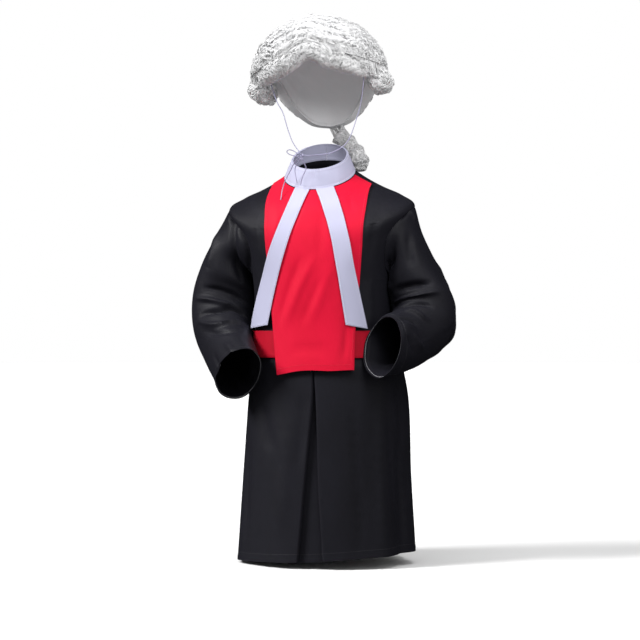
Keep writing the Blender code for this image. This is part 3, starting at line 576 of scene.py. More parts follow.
def angle_at_x(x, level):
    """The front angle whose point has this X."""
    row = read(BODY, level)
    share = np.clip((x - row.x_mid) / row.half_width, -1.0, 1.0)
    sine = np.minimum(np.abs(share) ** (row.square / 2), 1.0)
    return np.copysign(np.degrees(np.arcsin(sine)), share)


def level_at_z(z, column="z_front"):
    """The level where that column of BODY has this height."""
    z = np.asarray(z, float)
    levels = np.linspace(0.0, HEM_LEVEL, 2001)
    heights = getattr(read(BODY, levels), column)
    return np.interp(-z, -heights, levels)


def panel_rows():
    """The level and the armhole share of each row of the robe's panels, from the neckline to the hem."""
    above = np.linspace(0.0, SHOULDER_TIP_LEVEL, 29)[:-1]
    turn = np.linspace(0.0, math.pi, 41)
    half = (UNDERARM_LEVEL - SHOULDER_TIP_LEVEL) / 2
    beside = SHOULDER_TIP_LEVEL + half * (1 - np.cos(turn))
    below = np.linspace(UNDERARM_LEVEL, HEM_LEVEL, 81)[1:]
    level = np.concatenate([above, beside, below])
    share = np.concatenate([above * 0, np.sin(turn), below * 0])
    return level, share


# Grids of points
def spans(grid, axis):
    """The distance of each point from its line's start, along an axis of the grid."""
    steps = np.linalg.norm(np.diff(grid, axis=axis), axis=-1)
    start = np.zeros_like(np.take(steps, [0], axis=axis))
    return np.cumsum(np.concatenate([start, steps], axis=axis), axis=axis)


def grid_normals(grid, ring=False):
    if ring:
        around = np.roll(grid, -1, axis=1) - np.roll(grid, 1, axis=1)
    else:
        around = np.gradient(grid, axis=1)
    return unit(np.cross(np.gradient(grid, axis=0), around))


def side_distances(face):
    """How far each point of a panel is from the start and from the end of its row."""
    across = spans(face, 1)
    return across, across[:, -1:] - across


def from_end(distance):
    return distance[-1:] - distance


def nearest_to(distances, wanted):
    """The place in a row of distances where the one wanted is nearest."""
    return int(np.abs(distances - wanted).argmin())


def at_reach(values, reach, at):
    """Points or directions along a line, read at distances from its start."""
    return np.stack([np.interp(at, reach, values[:, k]) for k in range(3)], axis=-1)


def project(points):
    """Where points fall in the photograph, in its pixels."""
    away = VIEW_DISTANCE - (points[..., 0] * VIEW_SIN - points[..., 1] * VIEW_COS)
    across = points[..., 0] * VIEW_COS + points[..., 1] * VIEW_SIN
    px = PHOTO_SIDE / 2 + FOCAL_PIXELS * across / away
    py = PHOTO_SIDE / 2 - FOCAL_PIXELS * (points[..., 2] - VIEW_HEIGHT) / away
    return px, py


def seen_line(crease, grid, normals):
    """The crease's pixels laid on the nearest points of the grid that face the camera."""
    facing = (normals * (np.array(EYE) - grid)).sum(axis=-1) > 0
    points = grid[facing]
    px, py = project(points)
    pixels = spline(crease.path, np.linspace(0, len(crease.path) - 1, 6 * len(crease.path)))
    far = (px[None] - pixels[:, :1]) ** 2 + (py[None] - pixels[:, 1:]) ** 2
    line = points[far.argmin(axis=1)]
    for _ in range(8):
        line[1:-1] = (line[:-2] + 2 * line[1:-1] + line[2:]) / 4
    return line


def own_line(crease, place):
    """The crease's own coordinates laid on the surface that place() gives."""
    track = spline(crease.path, np.linspace(0, len(crease.path) - 1, 8 * len(crease.path)))
    return place(track[:, 0], track[:, 1])


def crease_out(grid, lines):
    """How far a set of (crease, line) pairs carries each point of the grid outwards."""
    total = np.zeros(grid.shape[:-1])
    for crease, line in lines:
        low, high = line.min(axis=0) - 3 * crease.width, line.max(axis=0) + 3 * crease.width
        near = np.all((grid > low) & (grid < high), axis=-1)
        if not near.any():
            continue
        points = grid[near]
        far = np.linalg.norm(points[:, None] - line[None], axis=-1)
        nearest = far.argmin(axis=1)
        along = nearest / (len(line) - 1)
        fade = np.minimum(1.0, 1.35 * np.sin(math.pi * (0.06 + 0.88 * along)))
        total[near] += crease.height * fade * np.exp(-((far.min(axis=1) / crease.width) ** 2))
    return total


def ripple(angle, level, seed, size):
    """Slow uneven swells, the same each run, that keep a panel from looking pressed flat."""
    waves = np.random.default_rng(seed)
    total = 0.0
    for _ in range(7):
        turn, fall, phase = waves.uniform(2.0, 7.0), waves.uniform(0.6, 2.4), waves.uniform(0, 6.28)
        total = total + np.sin(np.radians(angle) * turn + level * fall + phase)
    return size * total / 7


# Meshes
def placed(name, data):
    """A new object of the scene that holds the data."""
    holder = bpy.data.objects.new(name, data)
    bpy.context.scene.collection.objects.link(holder)
    return holder


def ring_quads(index):
    """Four-sided faces between rings of point numbers. Each ring is closed."""
    after = np.roll(index, -1, axis=1)
    return np.stack([index[:-1], after[:-1], after[1:], index[1:]], axis=-1).reshape(-1, 4)


def capped(index):
    """The walls between rings of point numbers, and a flat face at each end."""
    walls = [tuple(quad) for quad in ring_quads(index).tolist()]
    return walls + [tuple(index[0][::-1].tolist()), tuple(index[-1].tolist())]


def mesh_object(name, points, faces, uv=None, finish=None, sharp=40.0):
    mesh = bpy.data.meshes.new(name)
    points = np.asarray(points, float).reshape(-1, 3)
    if isinstance(faces, np.ndarray):
        sizes = np.full(len(faces), faces.shape[1])
        flat = faces.reshape(-1)
    else:
        sizes = np.array([len(face) for face in faces])
        flat = np.concatenate([np.asarray(face) for face in faces])
    mesh.vertices.add(len(points))
    mesh.vertices.foreach_set("co", points.reshape(-1))
    mesh.loops.add(len(flat))
    mesh.loops.foreach_set("vertex_index", flat.astype(np.int32))
    mesh.polygons.add(len(sizes))
    starts = np.concatenate([[0], np.cumsum(sizes)[:-1]])
    mesh.polygons.foreach_set("loop_start", starts.astype(np.int32))
    mesh.update(calc_edges=True)
    mesh.validate()
    if uv is not None:
        layer = mesh.uv_layers.new(name="cloth")
        index = np.empty(len(mesh.loops), np.int32)
        mesh.loops.foreach_get("vertex_index", index)
        layer.data.foreach_set("uv", uv[index].reshape(-1).astype(np.float32))
    mesh.shade_smooth()
    mesh.set_sharp_from_angle(angle=math.radians(sharp))
    if finish is not None:
        mesh.materials.append(finish)
    return placed(name, mesh)


def shell(name, face, normals, thickness, finish, ring=False):
    """A closed sheet of cloth: the face, the same points moved in by its thickness, and its edges."""
    rows, columns = face.shape[:2]
    thick = np.broadcast_to(np.asarray(thickness, float), (rows, columns))[..., None]
    back = face - normals * thick
    index = np.arange(rows * columns).reshape(rows, columns)
    right = np.roll(index, -1, axis=1) if ring else index[:, 1:]
    left = index if ring else index[:, :-1]
    quads = np.stack([left[:-1], right[:-1], right[1:], left[1:]], axis=-1).reshape(-1, 4)
    shift = rows * columns
    sides = [quads[:, ::-1], quads + shift]
    top = np.stack([left[0], right[0], right[0] + shift, left[0] + shift], axis=-1)
    foot = np.stack([left[-1], right[-1], right[-1] + shift, left[-1] + shift], axis=-1)
    sides += [top, foot[:, ::-1]]
    if not ring:
        first, last = (
            np.stack([edge[:-1], edge[1:], edge[1:] + shift, edge[:-1] + shift], axis=-1)
            for edge in (index[:, 0], index[:, -1])
        )
        sides += [first, last[:, ::-1]]
    faces = np.concatenate(sides)
    uv = np.stack([spans(face, 1), spans(face, 0)], axis=-1).reshape(-1, 2)
    points = np.concatenate([face.reshape(-1, 3), back.reshape(-1, 3)])
    return mesh_object(name, points, faces, np.concatenate([uv, uv]), finish, sharp=55.0)


def outward(face, normals, away_from, columns=None):
    """The normals, all turned the way that leaves away_from, as the first columns or all of them show it."""
    side = ((face - away_from) * normals)[:, :columns].sum(axis=-1).mean()
    return normals if side > 0 else -normals


def strands(name, lines, radius, finish):
    """Many fine hairs, each a closed three-sided tube that thins to its ends. lines is hairs by points by 3."""
    count, steps = lines.shape[:2]
    along = unit(np.gradient(lines, axis=1))
    guide = np.where(np.abs(along[..., 2:]) > 0.9, np.array((1.0, 0.0, 0.0)), np.array((0.0, 0.0, 1.0)))
    side = unit(np.cross(along, guide))
    lift = np.cross(side, along)
    share = np.linspace(0.0, 1.0, steps)
    taper = 0.25 + 0.75 * np.minimum(1.0, 5.0 * np.minimum(share, 1 - share))
    size = (np.broadcast_to(radius, (count,))[:, None] * taper[None])[..., None]
    rings = [lines + size * (math.cos(turn) * side + math.sin(turn) * lift) for turn in STRAND_TURNS]
    points = np.stack(rings, axis=2)
    index = np.arange(count * steps * 3).reshape(count, steps, 3)
    sides = []
    for k in range(3):
        j = (k + 1) % 3
        sides.append(np.stack([index[:, :-1, k], index[:, 1:, k], index[:, 1:, j]], axis=-1))
        sides.append(np.stack([index[:, :-1, k], index[:, 1:, j], index[:, :-1, j]], axis=-1))
    walls = np.concatenate([part.reshape(-1, 3) for part in sides])
    caps = np.concatenate([index[:, 0, :], index[:, -1, ::-1]])
    return mesh_object(name, points, np.concatenate([walls, caps]), None, finish, sharp=180.0)


def stitches(name, line, normals, finish):
    """A row of sewn stitches along a line on cloth. Each is a small bead that dips in at its ends."""
    reach = spans(line, 0)
    count = max(int(reach[-1] / STITCH_PITCH), 2)
    centres = (np.arange(count) + 0.5) * reach[-1] / count
    rings = []
    for shift, size, height in STITCH_SHAPE:
        at = np.clip(centres + shift * STITCH_LENGTH, 0, reach[-1])
        spot = at_reach(line, reach, at)
        out = unit(at_reach(normals, reach, at))
        ahead = at_reach(line, reach, np.clip(at + 1e-4, 0, reach[-1]))
        behind = at_reach(line, reach, np.clip(at - 1e-4, 0, reach[-1]))
        across = unit(np.cross(ahead - behind, out))
        for k in range(STITCH_SIDES):
            turn = 2 * math.pi * k / STITCH_SIDES
            round_it = math.cos(turn) * across + math.sin(turn) * out
            rings.append(spot + STITCH_RADIUS * (height * out + size * round_it))
    points = np.stack(rings, axis=1)
    index = np.arange(len(points) * len(rings)).reshape(len(points), len(STITCH_SHAPE), STITCH_SIDES)
    faces = []
    for k in range(STITCH_SIDES):
        j = (k + 1) % STITCH_SIDES
        faces.append(np.stack([index[:, :-1, k], index[:, :-1, j], index[:, 1:, j]], axis=-1).reshape(-1, 3))
        faces.append(np.stack([index[:, :-1, k], index[:, 1:, j], index[:, 1:, k]], axis=-1).reshape(-1, 3))
    for k in range(1, STITCH_SIDES - 1):
        faces.append(np.stack([index[:, 0, 0], index[:, 0, k + 1], index[:, 0, k]], axis=-1))
        faces.append(np.stack([index[:, -1, 0], index[:, -1, k], index[:, -1, k + 1]], axis=-1))
    return mesh_object(name, points, np.concatenate(faces), None, finish, sharp=180.0)


def tube_rings(line, radius, sides, twist=0.0, lobes=0, groove=0.0):
    """Rings of points round a line, with grooves that wind round it."""
    along = unit(np.gradient(line, axis=0))
    guide = np.array((0.2, 0.3, 1.0))
    side = unit(np.cross(along, guide))
    lift = np.cross(side, along)
    turn = np.linspace(0, 2 * math.pi, sides, endpoint=False)
    wound = spans(line, 0)[:, None] * twist
    size = np.broadcast_to(np.asarray(radius, float), (len(line),))[:, None]
    size = size * (1 - groove + groove * np.abs(np.cos(lobes * 0.5 * (turn[None] - wound))))
    return line[:, None] + size[..., None] * (
        np.cos(turn)[None, :, None] * side[:, None] + np.sin(turn)[None, :, None] * lift[:, None]
    )


def tube(name, line, radius, finish, sides, **winding):
    """A closed round bar along a line."""
    rings = tube_rings(line, radius, sides, **winding)
    index = np.arange(len(line) * sides).reshape(len(line), sides)
    uv = stacked(np.linspace(0, 2 * math.pi * radius, sides)[None], spans(line, 0)[:, None])
    return mesh_object(name, rings, capped(index), uv.reshape(-1, 2), finish, sharp=60.0)


# Finishes
def node(tree, kind, **settings):
    made = tree.nodes.new(kind)
    for key, value in settings.items():
        setattr(made, key, value)
    return made


def maths(tree, operation, first, second=None):
    made = node(tree, "ShaderNodeMath", operation=operation)
    for socket, value in zip(made.inputs, (first, second)):
        if value is None:
            continue
        if isinstance(value, (int, float)):
            socket.default_value = value
        else:
            tree.links.new(value, socket)
    return made.outputs[0]


def plus(tree, first, second):
    return maths(tree, "ADD", first, second)


def times(tree, first, second):
    return maths(tree, "MULTIPLY", first, second)


def noise(tree, coordinates, scale, detail=3.0, stretch=(1.0, 1.0, 1.0)):
    mapping = node(tree, "ShaderNodeMapping")
    mapping.inputs["Scale"].default_value = stretch
    tree.links.new(coordinates, mapping.inputs["Vector"])
    made = node(tree, "ShaderNodeTexNoise")
    made.inputs["Scale"].default_value = scale
    made.inputs["Detail"].default_value = detail
    tree.links.new(mapping.outputs["Vector"], made.inputs["Vector"])
    return made.outputs["Fac"]


def blend_colour(tree, share, first, second):
    made = node(tree, "ShaderNodeMix", data_type="RGBA")
    tree.links.new(share, made.inputs[0])
    for socket, value in ((made.inputs[6], first), (made.inputs[7], second)):
        if isinstance(value, tuple):
            socket.default_value = (*value, 1.0)
        else:
            tree.links.new(value, socket)
    return made.outputs[2]


def raised(tree, shader, height, strength, distance):
    bump = node(tree, "ShaderNodeBump")
    bump.inputs["Strength"].default_value = strength
    bump.inputs["Distance"].default_value = distance
    tree.links.new(height, bump.inputs["Height"])
    tree.links.new(bump.outputs["Normal"], shader.inputs["Normal"])


def tinted(tree, shader, share, light, dark):
    """The shade, which goes from light to dark as the share goes from 0 to 1."""
    held = maths(tree, "MINIMUM", maths(tree, "MAXIMUM", share, 0.0), 1.0)
    tree.links.new(blend_colour(tree, held, light, dark), shader.inputs["Base Color"])


def roughened(tree, shader, pattern, size, low):
    """The roughness, which goes up from low with the pattern."""
    tree.links.new(plus(tree, times(tree, pattern, size), low), shader.inputs["Roughness"])


def start_material(name):
    """A new material, its tree and its shader."""
    made = bpy.data.materials.new(name)
    made.use_nodes = True
    return made, made.node_tree, made.node_tree.nodes["Principled BSDF"]


Cloth = namedtuple("Cloth", "name light dark roughness sheen sheen_tint specular thread twill bump")
BLACK = Cloth(
    "black_cloth", light=(0.0125, 0.0122, 0.0172), dark=(0.0060, 0.0058, 0.0080), roughness=0.50, sheen=0.02,
    sheen_tint=(0.50, 0.52, 0.72), specular=0.13, thread=0.00085, twill=0.9, bump=0.35,
)
RED = Cloth(
    "red_cloth", light=(0.63, 0.0035, 0.032), dark=(0.49, 0.0025, 0.019), roughness=0.62, sheen=0.03,
    sheen_tint=(1.0, 0.45, 0.5), specular=0.12, thread=0.00075, twill=0.5, bump=0.25,
)
# The sash's red is the red cloth made darker: painted shade, for the shade that falls on it under the sleeves
# and the bib.
RED_PAINTED_SHADE = RED._replace(name="red_cloth_sash_painted_shade", light=(0.46, 0.003, 0.020), dark=(0.33, 0.002, 0.012))
WHITE = Cloth(
    "white_cloth", light=(0.44, 0.44, 0.58), dark=(0.395, 0.395, 0.53), roughness=0.66, sheen=0.03,
    sheen_tint=(0.9, 0.9, 1.0), specular=0.25, thread=0.00060, twill=0.0, bump=0.20,
)
NET = Cloth(
    "cap_net", light=(0.86, 0.86, 0.87), dark=(0.70, 0.70, 0.71), roughness=0.8, sheen=0.1,
    sheen_tint=(1.0, 1.0, 1.0), specular=0.2, thread=0.0022, twill=0.0, bump=0.6,
)
BUMP_HEIGHT = 0.00006


def cloth_finish(cloth):
    """Woven cloth: threads both ways, a twill line, slubs down the warp, and slow changes of shade."""
    made, tree, shader = start_material(cloth.name + "_woven")
    uv = node(tree, "ShaderNodeUVMap", uv_map="cloth").outputs[0]
    split = node(tree, "ShaderNodeSeparateXYZ")
    tree.links.new(uv, split.inputs[0])
    turns = 2 * math.pi / cloth.thread
    slant = plus(tree, split.outputs[0], split.outputs[1])
    warp, weft, twill = (
        maths(tree, "SINE", times(tree, way, turns)) for way in (split.outputs[0], split.outputs[1], slant)
    )
    weave = plus(tree, times(tree, warp, weft), times(tree, twill, cloth.twill))
    slubs = noise(tree, uv, 1.0, 2.0, (1500.0, 60.0, 1.0))
    fuzz = noise(tree, uv, 1.0, 2.0, (2600.0, 2600.0, 1.0))
    swells = noise(tree, uv, 1.0, 3.0, (26.0, 14.0, 1.0))
    share = plus(tree, times(tree, slubs, 0.55), times(tree, swells, 0.75))
    share = plus(tree, maths(tree, "SUBTRACT", share, 0.30), times(tree, weave, 0.05))
    tinted(tree, shader, share, cloth.light, cloth.dark)
    roughened(tree, shader, swells, 0.12, cloth.roughness - 0.06)
    shader.inputs["Specular IOR Level"].default_value = cloth.specular
    shader.inputs["Sheen Weight"].default_value = cloth.sheen
    shader.inputs["Sheen Roughness"].default_value = 0.42
    shader.inputs["Sheen Tint"].default_value = (*cloth.sheen_tint, 1.0)
    height = plus(tree, weave, plus(tree, times(tree, fuzz, 1.6), slubs))
    raised(tree, shader, height, cloth.bump, BUMP_HEIGHT)
    return made


def thread_finish(name, light, dark, roughness, specular):
    """Spun thread, cord or hair: shade and gloss change along it."""
    made, tree, shader = start_material(name)
    place = node(tree, "ShaderNodeTexCoord").outputs["Object"]
    broad = noise(tree, place, 46.0, 2.0)
    fine = noise(tree, place, 900.0, 2.0)
    share = plus(tree, times(tree, broad, 0.7), times(tree, fine, 0.5))
    tinted(tree, shader, maths(tree, "SUBTRACT", share, 0.1), light, dark)
    roughened(tree, shader, fine, 0.16, roughness - 0.08)
    shader.inputs["Specular IOR Level"].default_value = specular
    shader.inputs["Sheen Weight"].default_value = 0.12
    raised(tree, shader, fine, 0.25, 0.0002)
    return made


def combed_finish(name, light, dark, across, along):
    """A mass of combed hair: fine lines of uneven tone run along V, and broader streaks along the combing darken
    it, painted shade for the shade between its locks; both raise its bump.
    """
    made, tree, shader = start_material(name)
    uv = node(tree, "ShaderNodeUVMap", uv_map="cloth").outputs[0]
    hairs = noise(tree, uv, 1.0, 3.0, (across, along, 1.0))
    locks = noise(tree, uv, 1.0, 3.0, (across * 0.16, along * 0.6, 1.0))
    # The lock streaks' share of the darkening is painted shade between the locks; the fine lines' share is the
    # hair's own uneven tone.
    share = plus(tree, times(tree, hairs, 0.7), times(tree, locks, 0.6))
    tinted(tree, shader, maths(tree, "SUBTRACT", share, 0.15), light, dark)
    roughened(tree, shader, hairs, 0.25, 0.34)
    shader.inputs["Specular IOR Level"].default_value = 0.5
    raised(tree, shader, plus(tree, hairs, locks), 0.6, 0.0006)
    return made


def floor_finish():
    made, _, shader = start_material("floor_white")
    shader.inputs["Base Color"].default_value = (FLOOR_WHITE, FLOOR_WHITE, FLOOR_WHITE, 1.0)
    shader.inputs["Roughness"].default_value = 0.9
    shader.inputs["Specular IOR Level"].default_value = 0.1
    return made


def backdrop_finish():
    """A black face that glows white, so no light can make it brighter than white."""
    made, _, shader = start_material("backdrop_white")
    shader.inputs["Base Color"].default_value = (0.0, 0.0, 0.0, 1.0)
    shader.inputs["Roughness"].default_value = 0.9
    shader.inputs["Specular IOR Level"].default_value = 0.0
    shader.inputs["Emission Color"].default_value = (1.0, 1.0, 1.0, 1.0)
    shader.inputs["Emission Strength"].default_value = 1.0
    return made


# Camera, light and floor
def make_camera():
    camera = bpy.data.cameras.new("camera")
    camera.lens = LENS
    camera.sensor_width = SENSOR
    camera.clip_end = 100.0
    holder = placed("camera", camera)
    holder.location = EYE
    holder.rotation_euler = (math.radians(90.0), 0.0, math.radians(VIEW_TURN))
    bpy.context.scene.camera = holder


def make_sun(row):
    sun = bpy.data.lights.new(row.name, "SUN")
    sun.energy = row.power
    sun.angle = math.radians(row.softness)
    placed(row.name, sun).rotation_euler = (math.radians(90.0 - row.rise), 0.0, math.radians(row.turn))


def make_hair_light():
    """A small soft box close to the wig, which leaves the skirt in its own shade."""
    lamp = bpy.data.lights.new("hair_light", "AREA")
    lamp.shape = "DISK"
    lamp.size = HAIR_LIGHT_SIZE
    lamp.energy = HAIR_LIGHT_POWER
    holder = placed("hair_light", lamp)
    holder.location = HAIR_LIGHT_PLACE
    toward = Vector(HAIR_LIGHT_AIM) - Vector(HAIR_LIGHT_PLACE)
    holder.rotation_euler = toward.to_track_quat("-Z", "Y").to_euler()
    holder.visible_camera = False


def make_light():
    for row in SUNS:
        make_sun(row)
    make_hair_light()
    world = bpy.data.worlds.new("studio")
    world.use_nodes = True
    background = world.node_tree.nodes["Background"]
    background.inputs["Color"].default_value = (1.0, 1.0, 1.0, 1.0)
    background.inputs["Strength"].default_value = AMBIENT
    bpy.context.scene.world = world
    world.cycles_visibility.glossy = False
    bpy.context.scene.view_settings.view_transform = "Standard"


def make_stage():
    """A pale floor just under the hem, and a white dome round it that lights nothing."""
    turn = np.linspace(0, 2 * math.pi, STAGE_SIDES, endpoint=False)
    ring = stacked(FLOOR_RADIUS * np.cos(turn), FLOOR_RADIUS * np.sin(turn), cad_low.z - FLOOR_GAP)
    floor = mesh_object("floor", ring, [tuple(range(STAGE_SIDES))], None, floor_finish())
    floor.visible_diffuse = floor.visible_glossy = False
    rise = np.radians(np.linspace(-12.0, 89.0, DOME_RINGS))[:, None]
    reach = FLOOR_RADIUS * 0.98
    level = reach * np.cos(rise)
    points = stacked(level * np.cos(turn), level * np.sin(turn), reach * np.sin(rise))
    index = np.arange(DOME_RINGS * STAGE_SIDES).reshape(DOME_RINGS, STAGE_SIDES)
    dome = mesh_object("backdrop", points, ring_quads(index)[:, ::-1], None, backdrop_finish())
    dome.visible_diffuse = dome.visible_glossy = dome.visible_shadow = dome.visible_transmission = False


make_camera()

black_cloth = cloth_finish(BLACK)
red_cloth = cloth_finish(RED)
# The sash's finish: the red cloth darkened as painted shade.
sash_painted_shade_cloth = cloth_finish(RED_PAINTED_SHADE)
white_cloth = cloth_finish(WHITE)
serging = thread_finish("serging_thread", (0.42, 0.42, 0.44), (0.25, 0.25, 0.27), 0.6, 0.3)
black_thread = thread_finish("black_thread", (0.030, 0.030, 0.036), (0.012, 0.012, 0.015), 0.45, 0.4)
red_thread = thread_finish("red_thread", (0.80, 0.010, 0.045), (0.55, 0.004, 0.024), 0.45, 0.4)
white_thread = thread_finish("white_thread", (0.86, 0.86, 0.95), (0.66, 0.66, 0.80), 0.45, 0.4)
tie_cord = thread_finish("tie_cord_satin", (0.36, 0.35, 0.50), (0.21, 0.20, 0.31), 0.34, 0.45)
hair_strand = thread_finish("white_hair_strands", (0.86, 0.86, 0.86), (0.80, 0.80, 0.81), 0.32, 0.40)
# The hair mass's darker tone is partly its own uneven tone and partly painted shade between its locks.
hair_mass = combed_finish("white_hair_mass", (0.86, 0.86, 0.87), (0.72, 0.72, 0.73), 1100.0, 45.0)
cap_net = cloth_finish(NET)


def settle(piece, slot_name, *nodes):
    """The piece rides with the costume and stands for the nodes named; slot_name is not used."""
    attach(piece, "root")
    if nodes:
        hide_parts(*nodes)
    return piece


# The wig's places
def wig_place(points):
    """Points of the straight wig, turned and tipped with the head."""
    tip, turn = math.radians(WIG_TIP), math.radians(WIG_TURN)
    tipped = np.array(((math.cos(tip), 0, math.sin(tip)), (0, 1, 0), (-math.sin(tip), 0, math.cos(tip))))
    turned = np.array(((math.cos(turn), -math.sin(turn), 0), (math.sin(turn), math.cos(turn), 0), (0, 0, 1)))
    return (np.asarray(points, float) - WIG_CENTRE) @ (turned @ tipped).T + WIG_CENTRE + WIG_SHIFT


def wig_round(reach, side, z):
    """Points round the wig's middle: how far out, the angle from the front in radians, and the height."""
    return wig_place(stacked(reach * np.sin(side), -reach * np.cos(side), z))


def rim(angle):
    return keyed(WIG_RIM, np.abs((np.asarray(angle, float) + 180.0) % 360.0 - 180.0))


# Chin ties
def knot_side(point):
    """Where a cord that comes from this point stops, just short of the knot."""
    return KNOT + unit(np.array(point) - KNOT) * (KNOT_RADIUS + KNOT_GAP)


def strap_top(sign):
    """Where a strap is sewn to the crown's rim, in front of the ear."""
    angle = math.radians(STRAP_ANGLE)
    height = float(rim(STRAP_ANGLE).z) - STRAP_GAP
    return wig_place((sign * STRAP_REACH * math.sin(angle), -STRAP_REACH * math.cos(angle), height))


def tie_line(route):
    keys = np.array([tuple(point) for point in route])
    line = spline(keys, np.linspace(0, len(keys) - 1, 400))
    reach = spans(line, 0)
    return at_reach(line, reach, np.linspace(0, reach[-1], max(int(reach[-1] / 0.0005), 40)))


def tie(row, route):
    line = tie_line(route)
    piece = tube(row.name + "_cord", line, TIE_RADIUS, tie_cord, sides=12, twist=TIE_TWIST, lobes=2, groove=0.22)
    settle(piece, "tie_cord", row.name)


def make_knot():
    """The overhand knot, a cord wound through itself."""
    turn = np.linspace(0, 2 * math.pi, 160)
    wound = stacked(np.sin(turn) + 2 * np.sin(2 * turn), -np.sin(3 * turn), np.cos(turn) - 2 * np.cos(2 * turn))
    line = KNOT + wound * (KNOT_RADIUS - TIE_RADIUS * 0.6) / 3
    piece = tube("tie_knot_wound", line, TIE_RADIUS, tie_cord, sides=12, twist=TIE_TWIST, lobes=2, groove=0.2)
    return settle(piece, "tie_cord", "tie_knot")


def make_ties():
    knot = make_knot()
    for sign, row in ((-1, STRAP_RIGHT), (1, STRAP_LEFT)):
        start = strap_top(sign)
        tie(row, (start, *row.route, knot_side(row.route[-1])))
    for row in (END_A, END_B, END_C):
        start = knot_side(row.route[0])
        tie(row, (start, *row.route))
    start = knot_side(LOOP.route[0])
    tie(LOOP, (start, *LOOP.route, knot_side(LOOP.route[-1])))


make_ties()
make_light()
make_stage()


# The robe
def cloth_piece(name, face, normals, thickness, finish, slot_name, ring=False):
    """A closed sheet that stands for the node of its name."""
    return settle(shell(name + "_cloth", face, normals, thickness, finish, ring=ring), slot_name, name)


def sewn_row(name, line, normals, finish, slot_name):
    """Stitches just above a line of the cloth."""
    return settle(stitches(name, line + normals * STITCH_LIFT, normals, finish), slot_name)


def panel_relief(face, normals, seen, own, place, extra):
    """How far a panel's creases stand out: those the photo shows, those on its own lines, and what is added."""
    lines = [(crease, seen_line(crease, face, normals)) for crease in seen]
    lines += [(crease, own_line(crease, place)) for crease in own]
    return crease_out(face, lines) + extra


def edge_dip(distance):
    """A seam's shallow trough, by the distance from the edge."""
    return -SEAM_DIP * np.exp(-((distance / SEAM_WIDTH) ** 2))


def hem_line(distance, depth):
    """A turned hem: its stitch line pulls in, and the doubled cloth below stands out a little."""
    pulled = np.exp(-(((distance - depth) / HEM_PULL_WIDTH) ** 2))
    return HEM_RISE * ease((depth - distance) / HEM_EDGE) - HEM_PULL * pulled


def pleat_path(level):
    """Half of the pleat's section at each level: sideways and depth, from the visible layer to the middle."""
    row = keyed(PLEAT, level)
    gap, reach, layer = row.half_gap, row.reach, row.depth
    top = MODEL_CLOTH / 2
    folded = np.minimum(1.0, layer / 0.0030)
    edge, inner = gap + PLEAT_TURN, reach - PLEAT_TURN
    sideways = (
        edge + PLEAT_STEP, edge, gap, edge * folded + (gap - 0.001) * (1 - folded),
        inner * folded + (gap - 0.002) * (1 - folded), reach * folded + (gap - 0.003) * (1 - folded),
        inner * folded + (gap - 0.004) * (1 - folded), 0 * gap,
    )
    depth = (
        top + 0 * layer, top + 0 * layer, top + layer / 2, top + layer, top + layer,
        top + 1.5 * layer, top + 2 * layer, top + 2 * layer + 0.0008 * folded,
    )
    return np.stack(sideways, axis=-1), np.stack(depth, axis=-1)


def offset_path(sideways, depth, amount):
    """The path moved to one side of itself."""
    ahead_x, ahead_d = np.gradient(sideways, axis=1), np.gradient(depth, axis=1)
    size = np.maximum(np.hypot(ahead_x, ahead_d), 1e-9)
    return sideways - ahead_d / size * amount, depth + ahead_x / size * amount


def side_angles(sign, middle, level, share):
    """The front's angles from the pleat's edge to one armhole or side seam, a row for each level."""
    start = angle_at_x(middle + sign * (keyed(PLEAT, level).half_gap + PLEAT_TURN + PLEAT_STEP), level)
    end = sign * (90.0 - ARMHOLE_FRONT[sign] * share - SEAM_ANGLE)
    return start[:, None] + (end - start)[:, None] * np.linspace(0, 1, SIDE_COLUMNS)[None, 1:]


def front_grid():
    """The front's face from one side to the other, the pleat's folds included, with its angles and levels."""
    level, share = panel_rows()
    middle = read(BODY, level).x_mid
    sideways, depth = pleat_path(level)
    sideways = np.concatenate([sideways, -sideways[:, -2::-1]], axis=1)
    depth = np.concatenate([depth, depth[:, -2::-1]], axis=1)
    fine = np.linspace(0, sideways.shape[1] - 1, PLEAT_COLUMNS)
    sideways, depth = spline(sideways.T, fine).T, spline(depth.T, fine).T
    sideways, depth = offset_path(sideways, depth, MODEL_CLOTH / 2)
    pleat_angle = angle_at_x(middle[:, None] + sideways, level[:, None])
    left, right = (side_angles(sign, middle, level, share) for sign in (1, -1))
    angle = np.concatenate([left[:, ::-1], pleat_angle, right], axis=1)
    depth = np.concatenate([0 * left, np.maximum(depth, 0.0), 0 * right], axis=1)
    level = np.broadcast_to(level[:, None], angle.shape)
    normals, _ = body_frame(angle, level)
    under = ease((depth - MODEL_CLOTH) / np.maximum(keyed(PLEAT, level).depth, 1e-6))
    drop = UNDERLAY_DROP * ease((level - 8.0) / 2.0) * np.where(depth > MODEL_CLOTH, under, 0.0)
    face = body(angle, level) - normals * depth[..., None]
    face[..., 2] -= drop
    return face, angle, level, depth, normals


def covered(angle, level):
    """1 well under the bib and the collar, 0 outside."""
    row = keyed(BIB, level)
    left, right = angle_at_x(row.left, level), angle_at_x(row.right, level)
    left, right = np.where(left < -89.0, -100.0, left), np.where(right > 89.0, 100.0, right)
    inside = np.minimum(angle - left, right - angle)
    return ease((inside - 1.0) / 4.0) * ease((7.5 - level) / 0.2)


def sash_cover(level):
    """1 behind the sash, 0 above and below it."""
    below_top = ease((level - level_at_z(SASH_TOP) + 0.15) / 0.1)
    return below_top * ease((level_at_z(SASH_FOOT) + 0.15 - level) / 0.1)


